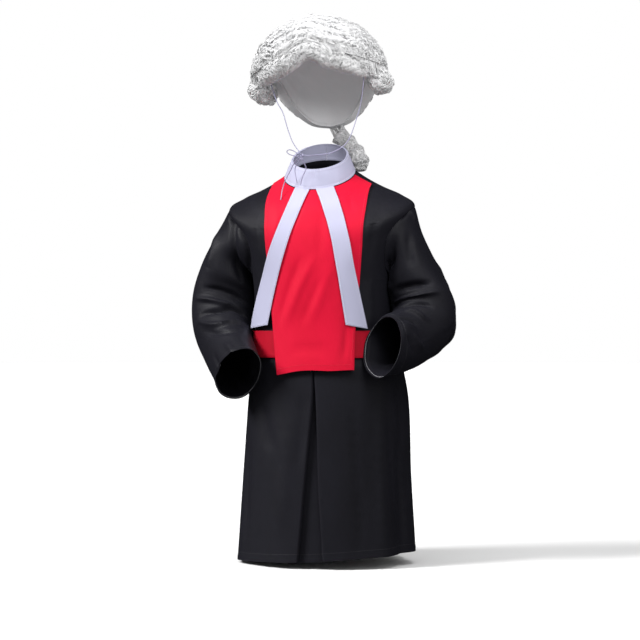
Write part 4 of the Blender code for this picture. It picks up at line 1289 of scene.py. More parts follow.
def front_relief(face, angle, level, depth, out):
    """How far each point of the front stands out, flat where another piece lies on it."""
    top_layer = depth < TOP_LAYER
    from_side, to_side = side_distances(face)
    inside = ease(np.minimum(from_side, to_side) / SEAM_FADE)
    swell = ripple(angle, level, 3, FRONT_SWELL) * ease((level - 0.6) / 2.0) * inside
    extra = np.where(top_layer, edge_dip(from_side) + edge_dip(to_side) + swell, 0.0)
    extra = extra + hem_line(from_end(spans(face, 0)), HEM_DEPTH)
    relief = np.where(top_layer, panel_relief(face, out, FRONT_SEEN, (), body, 0.0) * inside, 0.0)
    from_middle = np.abs(from_side - from_side[:, from_side.shape[1] // 2, None])
    away = 1 - np.exp(-((from_middle / PLEAT_CALM) ** 6))
    hidden, sash_zone = covered(angle, level), sash_cover(level)
    relief = (relief + extra) * (1 - hidden) * np.where(top_layer, np.maximum(away, 0.15), 1.0)
    return relief * (1 - sash_zone) - UNDER_BIB * hidden - UNDER_SASH * sash_zone * (1 - hidden)


def make_robe_front():
    face, angle, level, depth, out = front_grid()
    face = face + out * front_relief(face, angle, level, depth, out)[..., None]
    face[0, :, 2] += NECK_LIP
    normals = outward(face, grid_normals(face), BODY_MIDDLE, columns=30)
    piece = cloth_piece("robe_front", face, normals, ROBE_CLOTH, black_cloth, "black_cloth")
    hem = hem_row(face, HEM_DEPTH)
    sewn_row("front_hem_stitches", face[hem], normals[hem], black_thread, "black_cloth")


def hem_row(face, depth):
    """The row whose distance from the foot is nearest to depth."""
    return nearest_to(from_end(spans(face, 0))[:, face.shape[1] // 4], depth)


def make_robe_back(side, sign, creases, seed):
    level, share = panel_rows()
    start = 90.0 + ARMHOLE_BACK * share + SEAM_ANGLE
    end = 180.0 - SEAM_ANGLE
    angle = start[:, None] + (end - start)[:, None] * np.linspace(0, 1, BACK_COLUMNS)[None]
    level = np.broadcast_to(level[:, None], angle.shape)
    face = body(sign * angle, level)
    out, _ = body_frame(sign * angle, level)
    from_side, to_side = side_distances(face)
    swell = ripple(angle, level, seed, BACK_SWELL) * ease((level - 0.6) / 2.0)
    inside = ease(np.minimum(from_side, to_side) / SEAM_FADE)
    relief = (panel_relief(face, out, (), creases, lambda a, b: body(sign * a, b), 0.0) + swell) * inside
    relief = relief + (edge_dip(from_side) + edge_dip(to_side)) + hem_line(from_end(spans(face, 0)), HEM_DEPTH)
    face = face + out * relief[..., None]
    face[0, :, 2] += NECK_LIP
    normals = outward(face, grid_normals(face), BODY_MIDDLE)
    name = "robe_back_" + side
    piece = cloth_piece(name, face, normals, ROBE_CLOTH, black_cloth, "black_cloth")
    row = hem_row(face, HEM_DEPTH)
    hem = sewn_row(name + "_hem_stitches", face[row], normals[row], black_thread, "black_cloth")
    line, up = face[:, BACK_SEAM_COLUMN], normals[:, BACK_SEAM_COLUMN]
    seam = sewn_row(name + "_seam_stitches", line, up, black_thread, "black_cloth")


# Sleeves
def armhole_ring(sign, turn):
    centre = (SHOULDER_TIP_LEVEL + UNDERARM_LEVEL) / 2
    half = (UNDERARM_LEVEL - SHOULDER_TIP_LEVEL) / 2
    level = centre - sign * half * 0.997 * np.cos(turn)
    reach = np.sin(turn) * 0.997
    angle = 90.0 - np.where(reach > 0, ARMHOLE_FRONT[sign], ARMHOLE_BACK) * reach
    return body(sign * angle, level)


def sleeve_section(row, turn, sign):
    """A ring of points round one section, starting at +X and going through the front."""
    yaw, bend, lean = (math.radians(value) for value in (row.yaw, row.bend, row.lean))
    sideways = np.array((math.cos(yaw), math.sin(yaw), 0.0))
    forward = np.array((math.sin(yaw), -math.cos(yaw), 0.0))
    up = np.array((0.0, 0.0, 1.0))
    down_arm = math.sin(bend) * forward - math.cos(bend) * up
    upper = math.cos(bend) * forward + math.sin(bend) * up
    across = math.cos(lean) * sideways + math.sin(lean) * down_arm
    centre = np.array((row.x, row.y, row.z))
    wide = np.where(np.cos(turn) * sign > 0, row.across, row.inner) * np.cos(turn)
    return centre + wide[:, None] * across + row.deep * np.sin(turn)[:, None] * upper


def pressed_clear(points, more=0.0):
    """The points moved out of the robe's body, where a sleeve would lie in it."""
    clear = (SLEEVE_CLEAR + more) * ease((UNDERARM_TOP - points[..., 2]) / 0.03)
    row = read(BODY, np.maximum(level_at_z(points[..., 2], "z_side"), UNDERARM_LEVEL - 1.0))
    depth = np.where(points[..., 1] < 0, row.front, row.back) + clear
    x = points[..., 0] - row.x_mid
    inside = (np.abs(x) / (row.half_width + clear)) ** row.square
    inside = inside + (np.abs(points[..., 1]) / depth) ** row.square
    pressed = (inside < 1) & (points[..., 2] < UNDERARM_TOP)
    grow = np.where(pressed, np.maximum(inside, 1e-6) ** (-1 / row.square), 1.0)
    return stacked(row.x_mid + x * grow, points[..., 1] * grow, points[..., 2])


def sleeve_surface(sign, rows):
    """A function from degrees round and the share of the way down to points of the sleeve."""
    turns = np.linspace(0, 2 * math.pi, 361)
    keys = np.stack([armhole_ring(sign, turns)] + [sleeve_section(row, turns, sign) for row in rows])

    def place(degrees, share):
        degrees, share = np.broadcast_arrays(np.asarray(degrees, float) % 360.0, np.asarray(share, float))
        rings = spline(keys, share * (len(keys) - 1))
        low = np.minimum(degrees.astype(int), 359)
        mix = (degrees - low)[..., None]
        first = np.take_along_axis(rings, low[..., None, None], axis=-2)[..., 0, :]
        second = np.take_along_axis(rings, low[..., None, None] + 1, axis=-2)[..., 0, :]
        point = first * (1 - mix) + second * mix
        return np.where((share > 0)[..., None], pressed_clear(point), point)

    return place


def mirrored(creases, sign):
    """Creases on a sleeve's own lines, turned over for the left sleeve."""
    if sign < 0:
        return creases
    return tuple(c._replace(path=tuple((180.0 - angle, share) for angle, share in c.path)) for c in creases)


def make_sleeve(side, sign, rows, seen, seed):
    place = sleeve_surface(sign, rows)
    even = np.linspace(0, 1, SLEEVE_ROWS)
    share = even + 0.055 * np.sin(2 * math.pi * even)
    degrees = np.linspace(0, 360, SLEEVE_COLUMNS, endpoint=False)
    face = np.stack([place(degrees, np.full(SLEEVE_COLUMNS, value)) for value in share])
    middle = face.mean(axis=1, keepdims=True)
    out = outward(face, grid_normals(face, ring=True), middle)
    down = spans(face, 0)
    swell = ripple(degrees[None], share[:, None] * 8, seed, SLEEVE_SWELL)
    extra = edge_dip(down) + swell * ease(down / 0.03) + hem_line(from_end(down), CUFF_HEM)
    relief = panel_relief(face, out, seen, mirrored(SLEEVE_HIDDEN, sign), place, extra)
    lines = face + out * relief[..., None]
    face = np.concatenate([lines[:1], pressed_clear(lines[1:], -0.0008)])
    normals = outward(face, grid_normals(face, ring=True), middle)
    name = "sleeve_" + side
    piece = cloth_piece(name, face, normals, ROBE_CLOTH, black_cloth, "black_cloth", ring=True)
    row = nearest_to(from_end(down)[:, SLEEVE_COLUMNS // 4], CUFF_HEM)
    hem = sewn_row(name + "_cuff_stitches", closed(face[row]), closed(normals[row]), black_thread, "black_cloth")
    edge = serged_edge(name + "_cuff_edge", face, normals)


def closed(ring):
    """A ring of points with its first point again at its end."""
    return np.concatenate([ring, ring[:1]])


def serged_edge(name, face, normals):
    """The pale overlock thread just inside a cuff's edge."""
    ring = closed(face[-2] - normals[-2] * (ROBE_CLOTH + 0.0004))
    reach = spans(ring, 0)
    even = np.linspace(0, reach[-1], SERGING_POINTS)
    line = at_reach(ring, reach, even)
    up = unit(at_reach(closed(face[-4] - face[-1]), reach, even))
    line = line + up * (SERGING_REACH * (0.5 + 0.5 * np.sin(even / SERGING_PITCH * 2 * math.pi)))[:, None]
    return settle(tube(name, line, SERGING_RADIUS, serging, sides=5), "black_cloth")


# Red and white pieces that lie on the front
def bib_edges(level):
    row = keyed(BIB, level)
    limit = 90.0 - SEAM_ANGLE * 3
    return np.maximum(angle_at_x(row.left, level), -limit), np.minimum(angle_at_x(row.right, level), limit)


def bib_lift(level):
    return keyed(BIB, np.minimum(level, BIB[-1].level)).lift


def edge_line(face, inset, side):
    """The rows and columns of the line that runs a little in from one edge of a panel."""
    from_side, to_side = side_distances(face)
    above_foot = from_end(spans(face, 0))[:, face.shape[1] // 2]
    if side == "foot":
        row = nearest_to(above_foot, inset)
        columns = slice(nearest_to(from_side[row], inset), nearest_to(to_side[row], inset) + 1)
        return row, columns
    distance = from_side if side == "left" else to_side
    rows = np.flatnonzero(above_foot > inset)
    return rows, np.abs(distance - inset).argmin(axis=1)[rows]


def topstitch(name, face, normals, inset, finish, slot_name):
    """Stitch lines a little in from a panel's two sides and its foot."""
    made = []
    for side in ("left", "right", "foot"):
        place = edge_line(face, inset, side)
        made.append(sewn_row(f"{name}_{side}", face[place], normals[place], finish, slot_name))
    return made


def rolled(face, edge=0.0016, height=0.00035):
    """A turned-in edge all round a panel: it is fuller just inside the edge and drops at the edge."""
    nearest = np.minimum(np.minimum(*side_distances(face)), from_end(spans(face, 0)))
    return height * (np.exp(-(((nearest - 2 * edge) / edge) ** 2)) - np.exp(-((nearest / (edge * 0.6)) ** 2)))


def make_bib():
    level = np.linspace(BIB_TOP_LEVEL, BIB[-1].level, 90)
    left, right = bib_edges(level)
    side = np.linspace(0, 1, 65)[None]
    angle = left[:, None] + (right - left)[:, None] * side
    level = np.broadcast_to(level[:, None], angle.shape)
    sag = BIB_SAG * np.maximum(1 - side / BIB_SAG_REACH, 0.0) ** 2 + BIB_WAVE * np.sin(side * 11.0 + 0.5)
    level = level + sag * ease((level - 6.4) / 1.2)
    out, _ = body_frame(angle, level)
    face = body(angle, level) + out * (bib_lift(level) + MODEL_CLOTH)[..., None]
    swell = ripple(angle, level, 11, BIB_SWELL) * ease((level - 0.8) / 1.5)
    relief = panel_relief(face, out, BIB_SEEN, (), body, swell + rolled(face))
    under_bands = band_cover(angle, level)
    relief = np.maximum(relief, BIB_DEEPEST) * (1 - under_bands) - UNDER_BAND * under_bands
    face = face + out * relief[..., None]
    normals = outward(face, grid_normals(face), CHEST_MIDDLE)
    piece = cloth_piece("bib", face, normals, RED_CLOTH, red_cloth, "red_cloth")
    sewn = topstitch("bib_stitches", face[12:], normals[12:], BIB_STITCH_INSET, red_thread, "red_cloth")


def band_place(sign, z):
    """One band's distance from the body's middle, and half its width, at heights."""
    row = read(BANDS, np.interp(-np.asarray(z), [-r.z for r in BANDS], np.arange(len(BANDS))))
    return (row.left, row.half_left) if sign > 0 else (row.right, row.half_right)


def band_cover(angle, level):
    """1 under a band, 0 away from both."""
    x = body(angle, level)[..., 0]
    z = read(BODY, level).z_front
    total = 0.0
    for sign in (-1, 1):
        middle, half = band_place(sign, z)
        beside = ease((half + 0.004 - np.abs(x - sign * middle)) / 0.004)
        total = np.maximum(total, beside * (z > BANDS[-1].z - 0.003))
    return total


def make_sash():
    z = np.linspace(SASH_TOP, SASH_FOOT, 17)
    level = level_at_z(z)
    angle = np.broadcast_to(np.linspace(-86.0, 86.0, 121)[None], (len(z), 121))
    level = np.broadcast_to(level[:, None], angle.shape)
    out, _ = body_frame(angle, level)
    face = body(angle, level) + out * (LAY_GAP + UNDER_SASH)
    face = face + out * (rolled(face) + ripple(angle, level, 5, SASH_SWELL))[..., None]
    normals = outward(face, grid_normals(face), SASH_MIDDLE)
    # The sash wears the darker red, painted shade for the shade under the sleeves and the bib above it.
    piece = cloth_piece("sash", face, normals, RED_CLOTH, sash_painted_shade_cloth, "red_cloth")


def make_band(side, sign, seed):
    at = np.linspace(0, len(BANDS) - 1, 91)
    place = read(BANDS, at)
    level = np.maximum(level_at_z(place.z), 0.0)
    middle, half_width = (place.left, place.half_left) if sign > 0 else (place.right, place.half_right)
    side_share = np.linspace(-1, 1, 17)[None]
    angle = angle_at_x(sign * (middle[:, None] + half_width[:, None] * side_share), level[:, None])
    slant = BAND_SLANT * side_share * ease((level - 4.6) / 1.3)[:, None]
    level = level[:, None] + slant
    out, _ = body_frame(angle, level)
    swell = ripple(angle * 3, level, seed, BAND_SWELL) * ease((level - 0.4) / 1.0)
    face = body(angle, level) + out * (bib_lift(level) + MODEL_CLOTH + LAY_GAP + BAND_GAP)[..., None]
    face = face + out * (swell + rolled(face, edge=0.0011, height=0.0003))[..., None]
    normals = outward(face, grid_normals(face), CHEST_MIDDLE)
    name = "band_" + side
    piece = cloth_piece(name, face, normals, BAND_CLOTH, white_cloth, "white_cloth")
    sewn = topstitch(name + "_stitches", face, normals, BAND_STITCH_INSET, white_thread, "white_cloth")


def make_collar():
    half = 180.0 - COLLAR_OPENING / 2
    angle = -half + 2 * half * np.linspace(0, 1, COLLAR_COLUMNS)
    sin, cos = np.sin(np.radians(angle)), np.cos(np.radians(angle))
    normal, up = body_frame(angle, 0.0 * angle)
    foot = body(angle, 0.0 * angle) + up * COLLAR_SEAM + normal * COLLAR_STACK
    depth = np.where(cos > 0, COLLAR_TOP_FRONT, COLLAR_TOP_BACK)
    top = stacked(COLLAR_TOP_WIDE * sin, -depth * cos, COLLAR_TOP_MID - COLLAR_TOP_TILT * cos)
    share = np.linspace(0, 1, 21)[:, None, None]
    dents = sum(dent.depth * np.exp(-(((angle - dent.angle) / dent.spread) ** 2)) for dent in COLLAR_DENTS)
    bow = COLLAR_BOW * np.sin(math.pi * share) - dents[None, :, None] * np.sin(math.pi * share * 0.9)
    face = foot[None] * (1 - share) + top[None] * share + bow * stacked(sin, -cos, 0 * sin)[None]
    grid = face[::-1]
    normals = outward(grid, grid_normals(grid), COLLAR_MIDDLE)
    down = spans(grid, 0)
    relief = 0.0003 * np.exp(-(((down - 0.0032) / 0.0014) ** 2)) + hem_line(from_end(down), 0.0035)
    grid = grid + normals * relief[..., None]
    piece = cloth_piece("collar", grid, normals, COLLAR_CLOTH, white_cloth, "white_cloth")
    for edge, distance in (("top", down), ("foot", from_end(down))):
        row = nearest_to(distance[:, COLLAR_COLUMNS // 2], COLLAR_STITCH_INSET)
        sewn_row(f"collar_{edge}_stitches", grid[row], normals[row], white_thread, "white_cloth")


make_collar()
make_robe_front()
make_robe_back("left", 1, BACK_CREASES, 21)
make_robe_back("right", -1, BACK_CREASES_OTHER, 22)
make_sleeve("right", -1, SLEEVE_RIGHT, SLEEVE_RIGHT_SEEN, 31)
make_sleeve("left", 1, SLEEVE_LEFT, SLEEVE_LEFT_SEEN, 32)
make_bib()
make_sash()
make_band("right", -1, 41)
make_band("left", 1, 42)


# The wig's hair
def flow(angle, rise):
    """Where a place on the crown lies along and across the combing, in metres."""
    a = np.radians(angle)
    r = np.radians((np.clip(rise, 0.0, 90.0) + POLE_DROP) * 90.0 / (90.0 + POLE_DROP))
    along = np.arctan2(np.sin(r), np.cos(r) * np.cos(a))
    across = np.arcsin(np.clip(np.cos(r) * np.sin(a), -1, 1))
    return along * HEAD_RADIUS, across * HEAD_RADIUS


def unflow(along, across):
    """The crown's angle and rise, in degrees, of a place along and across the combing."""
    along, across = along / HEAD_RADIUS, np.clip(across / HEAD_RADIUS, -1.53, 1.53)
    front, up = np.cos(across) * np.cos(along), np.cos(across) * np.sin(along)
    rise = np.degrees(np.arcsin(np.clip(up, -1, 1))) * (90.0 + POLE_DROP) / 90.0 - POLE_DROP
    return np.degrees(np.arctan2(np.sin(across), front)), np.maximum(rise, 0.0)


def wave_phase(along, across):
    """How far through its waves the hair is. Neighbouring locks are a little out of step."""
    warp = 1.6 * np.sin(across / 0.0150 + 0.7) + 1.3 * np.sin(across / 0.031 - along / 0.043 + 2.0)
    return along / WAVE_LENGTH * 2 * math.pi + warp + 0.8 * np.sin(along / 0.024 + across / 0.017)


def lock_sway(along, across):
    return WAVE_SWAY * np.sin(wave_phase(along, across))


def wave_out(along, across):
    """How far the locks and their waves lift the hair."""
    phase = wave_phase(along, across)
    own = across - WAVE_SWAY * np.sin(phase)
    rib = np.abs(np.cos(math.pi * own / LOCK_WIDTH + 1.1 * np.sin(along / 0.026 + across / 0.019)))
    return LOCK_RISE * (rib ** 0.8 - 0.62) + WAVE_HEIGHT * np.sin(phase + 1.2 + 0.9 * np.sin(own / 0.012))


def crown(angle, rise, lift=0.0):
    """A point of the crown's hair: degrees round from the front, 0 at the rim to 90 at the top."""
    row = rim(angle)
    r = np.radians(np.maximum(rise, 0.0))
    sin, cos = np.sin(r), np.cos(r)
    waves = wave_out(*flow(angle, rise)) * ease(np.asarray(rise, float) / 8.0)
    beside = np.exp(-(((np.abs((angle + 180) % 360 - 180) - 82.0) / 24.0) ** 2))
    out = waves + lift + SIDE_FULLNESS * beside * np.exp(-((rise / 26.0) ** 2))
    reach = row.outer * np.maximum(cos, 0.0) ** WIG_FULL * (1 - row.tuck * (1 - sin) ** 2)
    side, level = np.radians(angle), sin * 0.9
    reach = reach + out * np.sqrt(np.maximum(1 - level**2, 0.0))
    z = row.z + (WIG_TOP - row.z) * sin + out * level
    return wig_round(reach, side, z)


def rings_mesh(name, rings, uv, node_name, flip=False):
    """A closed body of hair through rings of points, with flat ends."""
    index = np.arange(rings.shape[0] * rings.shape[1]).reshape(rings.shape[:2])
    faces = capped(index[:, ::-1] if flip else index)
    piece = mesh_object(name, rings, faces, uv.reshape(-1, 2), hair_mass, sharp=70.0)
    settle(piece, "white_hair", node_name)


def hollow_ring(row, side, rise, inset=0.0, weft=0.0):
    """A ring of the wig's hollow, at a rise in degrees and a little inside it."""
    r = math.radians(rise)
    reach = (row.inner - inset - weft) * math.cos(r) ** WIG_FULL * (1 - row.tuck * (1 - math.sin(r)) ** 2)
    return wig_round(reach, side, row.z + (WIG_HOLLOW_TOP - inset - row.z) * math.sin(r))


def make_crown_mass():
    """The combed mass under the loose hair, with a rounded lower edge and a hollow for the head."""
    angles = np.linspace(0, 360, CROWN_COLUMNS, endpoint=False)
    rises = np.linspace(88.5, 0.0, CROWN_ROWS)
    row = rim(angles)
    side = np.radians(angles)
    rings = [crown(angles[None], rises[:, None], -0.0006)]
    foot = row.outer * (1 - row.tuck)
    for turn in (0.25, 0.5, 0.75):
        reach = foot + (row.inner - foot) * turn
        rings.append(wig_round(reach, side, row.z - 0.0016 * math.sin(math.pi * turn))[None])
    rings += [hollow_ring(row, side, rise)[None] for rise in np.linspace(0.0, 86.0, 18)]
    rings = np.concatenate(rings)
    along, across = flow(angles[None], rises[:, None])
    uv = stacked(across, along)
    uv = np.concatenate([uv, np.broadcast_to(uv[-1:], (len(rings) - len(rises), CROWN_COLUMNS, 2))])
    rings_mesh("wig_crown_mass", rings, uv, "wig_crown", flip=True)


def make_lining():
    """The net cap inside the wig, with a sewn weft in every fourth ring."""
    angles = np.linspace(0, 360, 120, endpoint=False)
    row, side = rim(angles), np.radians(angles)
    face = np.stack([
        hollow_ring(row, side, rise, NET_GAP, WEFT_HEIGHT * (i % 4 == 0))
        for i, rise in enumerate(np.linspace(86.0, 2.0, 36))
    ])
    normals = outward(face, grid_normals(face, ring=True), face.mean(axis=(0, 1)))
    settle(shell("wig_cap_net", face, normals, NET_CLOTH, cap_net, ring=True), "white_hair")


def drawn(pick, low, high, count):
    """A column of random values, one for each hair."""
    return pick.uniform(low, high, count)[:, None]


def hair(name, pick, lines):
    radius = pick.uniform(0.6, 1.0, len(lines)) * HAIR_RADIUS
    settle(strands(name, lines, radius, hair_strand), "white_hair")


def crown_at(along, across, lift):
    return crown(*unflow(along, across), lift)


def crown_hairs(name, count, seed, lift_low, lift_high):
    """Short lengths of waving hair laid over the crown in its locks."""
    pick = np.random.default_rng(seed)
    share = np.linspace(-0.5, 0.5, 15)[None]
    middle = np.arccos(pick.uniform(-1, 1, count)) * HEAD_RADIUS
    across = np.arcsin(pick.uniform(-0.995, 0.995, count)) * HEAD_RADIUS
    reach = pick.uniform(0.030, 0.062, count) / np.maximum(np.cos(across / HEAD_RADIUS), 0.35)
    along = middle[:, None] + reach[:, None] * share
    along = np.clip(along, 0.28 * HEAD_RADIUS, (math.pi - 0.28) * HEAD_RADIUS)
    own = across[:, None] + pick.normal(0, 0.0035, count)[:, None] * share
    lift = drawn(pick, lift_low, lift_high, count) * np.cos(math.pi * share) + 0.0001
    hair(name, pick, crown_at(along, own + lock_sway(along, own), lift))


def curls(name, seed, place, middles):
    """Loose ringlets that lie on a surface, each a few hairs wound the same way."""
    pick = np.random.default_rng(seed)
    count, hairs = len(middles), CURL_HAIRS
    share = np.linspace(0.0, 1.0, 17)[None]
    size = np.repeat(pick.uniform(0.0028, 0.0056, count), hairs)[:, None]
    wound = np.repeat(pick.uniform(1.2, 2.1, count) * pick.choice((-1, 1), count), hairs)[:, None]
    start = np.repeat(pick.uniform(0, 6.28, count), hairs)[:, None]
    start = start + pick.normal(0, 0.16, (count * hairs, 1))
    lean = np.repeat(pick.uniform(0, 6.28, count), hairs)[:, None]
    spread = pick.uniform(-0.0011, 0.0011, (count * hairs, 1))
    turn = start + 2 * math.pi * wound * share
    reach = size * (0.45 + 0.55 * np.sin(math.pi * (0.15 + 0.8 * share))) + spread
    drift = size * 1.9 * (share - 0.5)
    along = np.repeat(middles[:, 0], hairs)[:, None] + reach * np.cos(turn) + drift * np.cos(lean)
    across = np.repeat(middles[:, 1], hairs)[:, None] + reach * np.sin(turn) + drift * np.sin(lean)
    lift = 0.0012 + 0.0011 * np.sin(turn + lean) + np.abs(spread)
    hair(name, pick, place(along, across, lift))


def make_crown_hair():
    crown_hairs("wig_crown_hair_under", CROWN_HAIRS_UNDER, 71, 0.0, 0.0006)
    crown_hairs("wig_crown_hair_over", CROWN_HAIRS_OVER, 72, 0.0003, 0.0018)
    pick = np.random.default_rng(73)
    along = np.arccos(pick.uniform(-0.98, 0.98, CROWN_CURLS))
    across = np.arcsin(pick.uniform(-0.97, 0.97, CROWN_CURLS))
    curls("wig_crown_curls", 74, crown_at, stacked(along, across) * HEAD_RADIUS)


def roll_centre(angle):
    """The front roll's middle line and its radius, below the crown's front rim."""
    row = rim(angle)
    radius = ROLL_RADIUS * (1 - 0.18 * (angle / ROLL_HALF_ANGLE) ** 6)
    reach = (row.outer + row.inner) / 2
    slope = (rim(angle + 2.0).z - rim(angle - 2.0).z) / (reach * math.radians(4.0))
    drop = (radius + ROLL_GAP) * np.hypot(1.0, slope)
    side = np.radians(angle)
    return stacked(reach * np.sin(side), -reach * np.cos(side), row.z - drop), radius


def roll_place(angle, turn, lift):
    """A point on the front roll: degrees round the head, and degrees round the roll, 0 outwards and 90 up."""
    angle = np.asarray(angle, float)
    held = np.clip(angle, -ROLL_HALF_ANGLE, ROLL_HALF_ANGLE)
    centre, radius = roll_centre(held)
    along = unit(roll_centre(held + 0.5)[0] - roll_centre(held - 0.5)[0])
    side = np.radians(held)
    outer = stacked(np.sin(side), -np.cos(side), 0 * side)
    outer = unit(outer - along * (outer * along).sum(axis=-1, keepdims=True))
    up = np.cross(outer, along)
    up = np.where(up[..., 2:] < 0, -up, up)
    past = np.radians(np.clip((np.abs(angle) - ROLL_HALF_ANGLE) * 7.0, 0.0, 84.0))
    relief = 0.45 * wave_out(np.radians(turn) * ROLL_RADIUS, np.radians(angle) * HEAD_RADIUS)
    size = (radius * np.cos(past) + lift + relief * np.cos(past))[..., None]
    shift = (np.sign(angle) * radius * np.sin(past))[..., None] * along
    t = np.radians(turn)[..., None]
    return wig_place(centre + shift + size * (np.cos(t) * outer + np.sin(t) * up))


def make_front_roll():
    end = ROLL_HALF_ANGLE + 12.0
    angles = np.linspace(-end, end, 170)[:, None]
    turns = np.linspace(0, 360, 40, endpoint=False)[None]
    rings = roll_place(angles + 0 * turns, turns + 0 * angles, -0.0008)
    uv = stacked(np.radians(angles) * 0.1, np.radians(turns) * ROLL_RADIUS)
    rings_mesh("wig_front_roll_mass", rings, uv, "wig_front_roll")
    pick = np.random.default_rng(52)
    count, share = FRONT_ROLL_HAIRS, np.linspace(0, 1, 12)[None]
    start = drawn(pick, 4.0 - end, end - 4.0, count)
    turn = drawn(pick, -150.0, 40.0, count) + drawn(pick, 70.0, 150.0, count) * share
    slant = (pick.normal(0, 1.2, count)[:, None] - 3.0 * np.sign(start)) * (2 * share - 1)
    sway = lock_sway(np.radians(turn) * ROLL_RADIUS, np.radians(start) * HEAD_RADIUS)
    sway = 0.5 * np.degrees(sway / HEAD_RADIUS)
    lift = drawn(pick, 0.0, 0.0012, count) * np.sin(math.pi * share)
    hair("wig_front_roll_hair", pick, roll_place(start + slant + sway, turn, lift - 0.0003))
    edge_angles = np.linspace(-ROLL_HALF_ANGLE, ROLL_HALF_ANGLE, 200)
    edge = roll_place(edge_angles, 0 * edge_angles - 100.0, 0 * edge_angles + 0.0002)
    piece = tube("wig_front_edge", edge, 0.0006, white_thread, sides=6, twist=900.0, lobes=2, groove=0.2)
    settle(piece, "white_hair")


def side_roll_place(sign, y, turn, lift):
    """A point on a side roll: how far back along it, degrees round it, and how far off."""
    front, back = SIDE_ROLL_FRONT, SIDE_ROLL_BACK
    over = np.where(y < front, front - y, np.where(y > back, y - back, 0.0)) / SIDE_ROLL_RADIUS
    t = np.radians(turn)
    lift = lift + 0.8 * wave_out(t * SIDE_ROLL_RADIUS, y + sign * 0.05)
    size = (SIDE_ROLL_RADIUS + lift) * np.sqrt(np.maximum(1 - np.minimum(over, 0.999) ** 2, 0.0004))
    return wig_place(stacked(sign * SIDE_ROLL_X + size * np.cos(t) * sign, y, SIDE_ROLL_Z + size * np.sin(t)))


def make_side_roll(side, sign, seed):
    reach = SIDE_ROLL_RADIUS * 0.98
    low, high = SIDE_ROLL_FRONT - reach, SIDE_ROLL_BACK + reach
    ys = np.linspace(low, high, 72)[:, None]
    turns = np.linspace(0, 360, 56, endpoint=False)[None]
    rings = side_roll_place(sign, ys + 0 * turns, turns + 0 * ys, -0.0006)
    uv = stacked(ys, np.radians(turns) * SIDE_ROLL_RADIUS)
    rings_mesh("wig_side_roll_" + side + "_mass", rings, uv, "wig_side_roll_" + side, flip=sign > 0)
    pick = np.random.default_rng(seed)
    count, share = SIDE_ROLL_HAIRS, np.linspace(0, 1, 12)[None]
    y = drawn(pick, low, high, count)
    turn = drawn(pick, 0, 360, count) + drawn(pick, 80, 190, count) * share
    drift = pick.normal(0, 0.0012, count)[:, None] * (2 * share - 1)
    held = y + drift + 0.7 * lock_sway(np.radians(turn) * SIDE_ROLL_RADIUS, y + sign * 0.05)
    lift = drawn(pick, 0.0, 0.0014, count) * np.sin(math.pi * share)
    lines = side_roll_place(sign, np.clip(held, low, high), turn, lift - 0.0002)
    hair("wig_side_roll_" + side + "_hair", pick, lines)
    along = pick.uniform(-2.2, 1.9, SIDE_ROLL_CURLS) * SIDE_ROLL_RADIUS
    spots = stacked(along, pick.uniform(low, high, SIDE_ROLL_CURLS))

    def place(along, across, lift):
        return side_roll_place(sign, np.clip(across, low, high), np.degrees(along / SIDE_ROLL_RADIUS), lift)

    curls("wig_side_roll_" + side + "_curls", seed + 5, place, spots)


def make_edge_hair():
    """Locks that come down from the crown and turn under over the front roll and the side rolls."""
    pick = np.random.default_rng(91)
    count, share = EDGE_HAIRS, np.linspace(0.0, 1.0, 15)[None]
    angle = drawn(pick, -118.0, 118.0, count)
    sway = np.degrees(lock_sway(-0.07 * share, np.radians(angle) * HEAD_RADIUS) / HEAD_RADIUS)
    drift = 7.0 * np.sin(angle / 9.0) * (share - 0.5)
    held = np.clip(angle + sway + drift, -119.0, 119.0)
    lift = drawn(pick, 0.0, 0.0022, count) * np.sin(math.pi * (0.1 + 0.8 * share))
    top = crown(held, drawn(pick, 7.0, 24.0, count) * np.maximum(1 - share / 0.45, 0.0), lift)
    turn = 62.0 - drawn(pick, 70.0, 165.0, count) * np.maximum(share - 0.40, 0.0) / 0.60
    front = roll_place(held, turn + 0 * held, lift)
    sign = np.sign(angle)
    beside = side_roll_place(sign, -rim(held).outer * np.cos(np.radians(held)), turn, lift)
    mix = ease((np.abs(held) - ROLL_HALF_ANGLE) / 12.0)[..., None]
    low = front * (1 - mix) + beside * mix
    blend = ease((share - 0.34) / 0.22)[..., None]
    hair("wig_edge_hair", pick, top * (1 - blend) + low * blend)


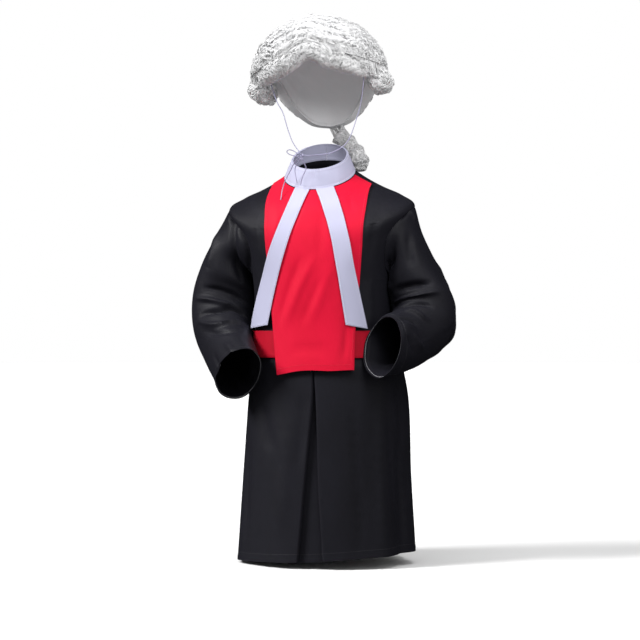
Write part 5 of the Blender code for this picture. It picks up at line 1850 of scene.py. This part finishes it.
def queue_place(share, turn, lift):
    """A point on the queue: its share of the way down, degrees round it, and how far off."""
    row = read(QUEUE, share * (len(QUEUE) - 1))
    centre = stacked(row.x, row.y, row.z)
    ahead = read(QUEUE, np.minimum(share + 0.01, 1.0) * (len(QUEUE) - 1))
    behind = read(QUEUE, np.maximum(share - 0.01, 0.0) * (len(QUEUE) - 1))
    along = unit(stacked(ahead.x - behind.x, ahead.y - behind.y, ahead.z - behind.z))
    side = unit(np.cross(along, np.array((0.0, 1.0, 0.0))))
    fore = np.cross(side, along)
    waves = 0.9 * wave_out(share * QUEUE_LENGTH, np.radians(turn) * QUEUE_RADIUS)
    waves = waves + 0.0013 * np.sin(share * 26.0 + 1.0)
    from_tip = np.minimum(share, 1 - share)
    end = np.sqrt(np.clip(1 - (1 - from_tip / 0.07) ** 2, 0.01, 1.0))
    end = np.where(from_tip < 0.07, end, 1.0)
    size = ((row.radius + waves + lift) * end)[..., None]
    t = np.radians(turn)[..., None]
    return wig_place(centre + size * (np.cos(t) * side + np.sin(t) * fore))


def make_queue():
    shares = np.linspace(0, 1, 90)[:, None]
    turns = np.linspace(0, 360, 40, endpoint=False)[None]
    rings = queue_place(shares + 0 * turns, turns + 0 * shares, -0.0006)
    uv = stacked(np.radians(turns) * QUEUE_RADIUS, shares * QUEUE_LENGTH)
    rings_mesh("wig_queue_mass", rings, uv, "wig_queue")
    pick = np.random.default_rng(61)
    count, share = QUEUE_HAIRS, np.linspace(0, 1, 14)[None]
    down = drawn(pick, -0.1, 0.8, count) + drawn(pick, 0.25, 0.5, count) * share
    down = np.clip(down, 0.0, 1.0)
    own = drawn(pick, 0, 360, count) + 40 * down
    turn = own + np.degrees(lock_sway(down * QUEUE_LENGTH, np.radians(own) * QUEUE_RADIUS) / 0.016)
    lift = drawn(pick, 0.0, 0.0016, count) * np.sin(math.pi * share)
    hair("wig_queue_hair", pick, queue_place(down, turn, lift))
    count, share = NAPE_HAIRS, np.linspace(0, 1, 12)[None]
    angle = drawn(pick, 164.0, 186.0, count)
    nape = crown(angle + 0 * share, drawn(pick, 2.0, 9.0, count) * (1 - share), 0.0005)
    down = 0.03 + drawn(pick, 0.15, 0.45, count) * share
    lower = queue_place(down, (angle - 175.0) * 16.0 + 0 * share, 0.0006)
    blend = ease((share - 0.1) / 0.55)[..., None]
    hair("wig_nape_hair", pick, nape * (1 - blend) + lower * blend)


make_crown_mass()
make_lining()
make_crown_hair()
make_front_roll()
make_side_roll("right", -1, 81)
make_side_roll("left", 1, 82)
make_edge_hair()
make_queue()
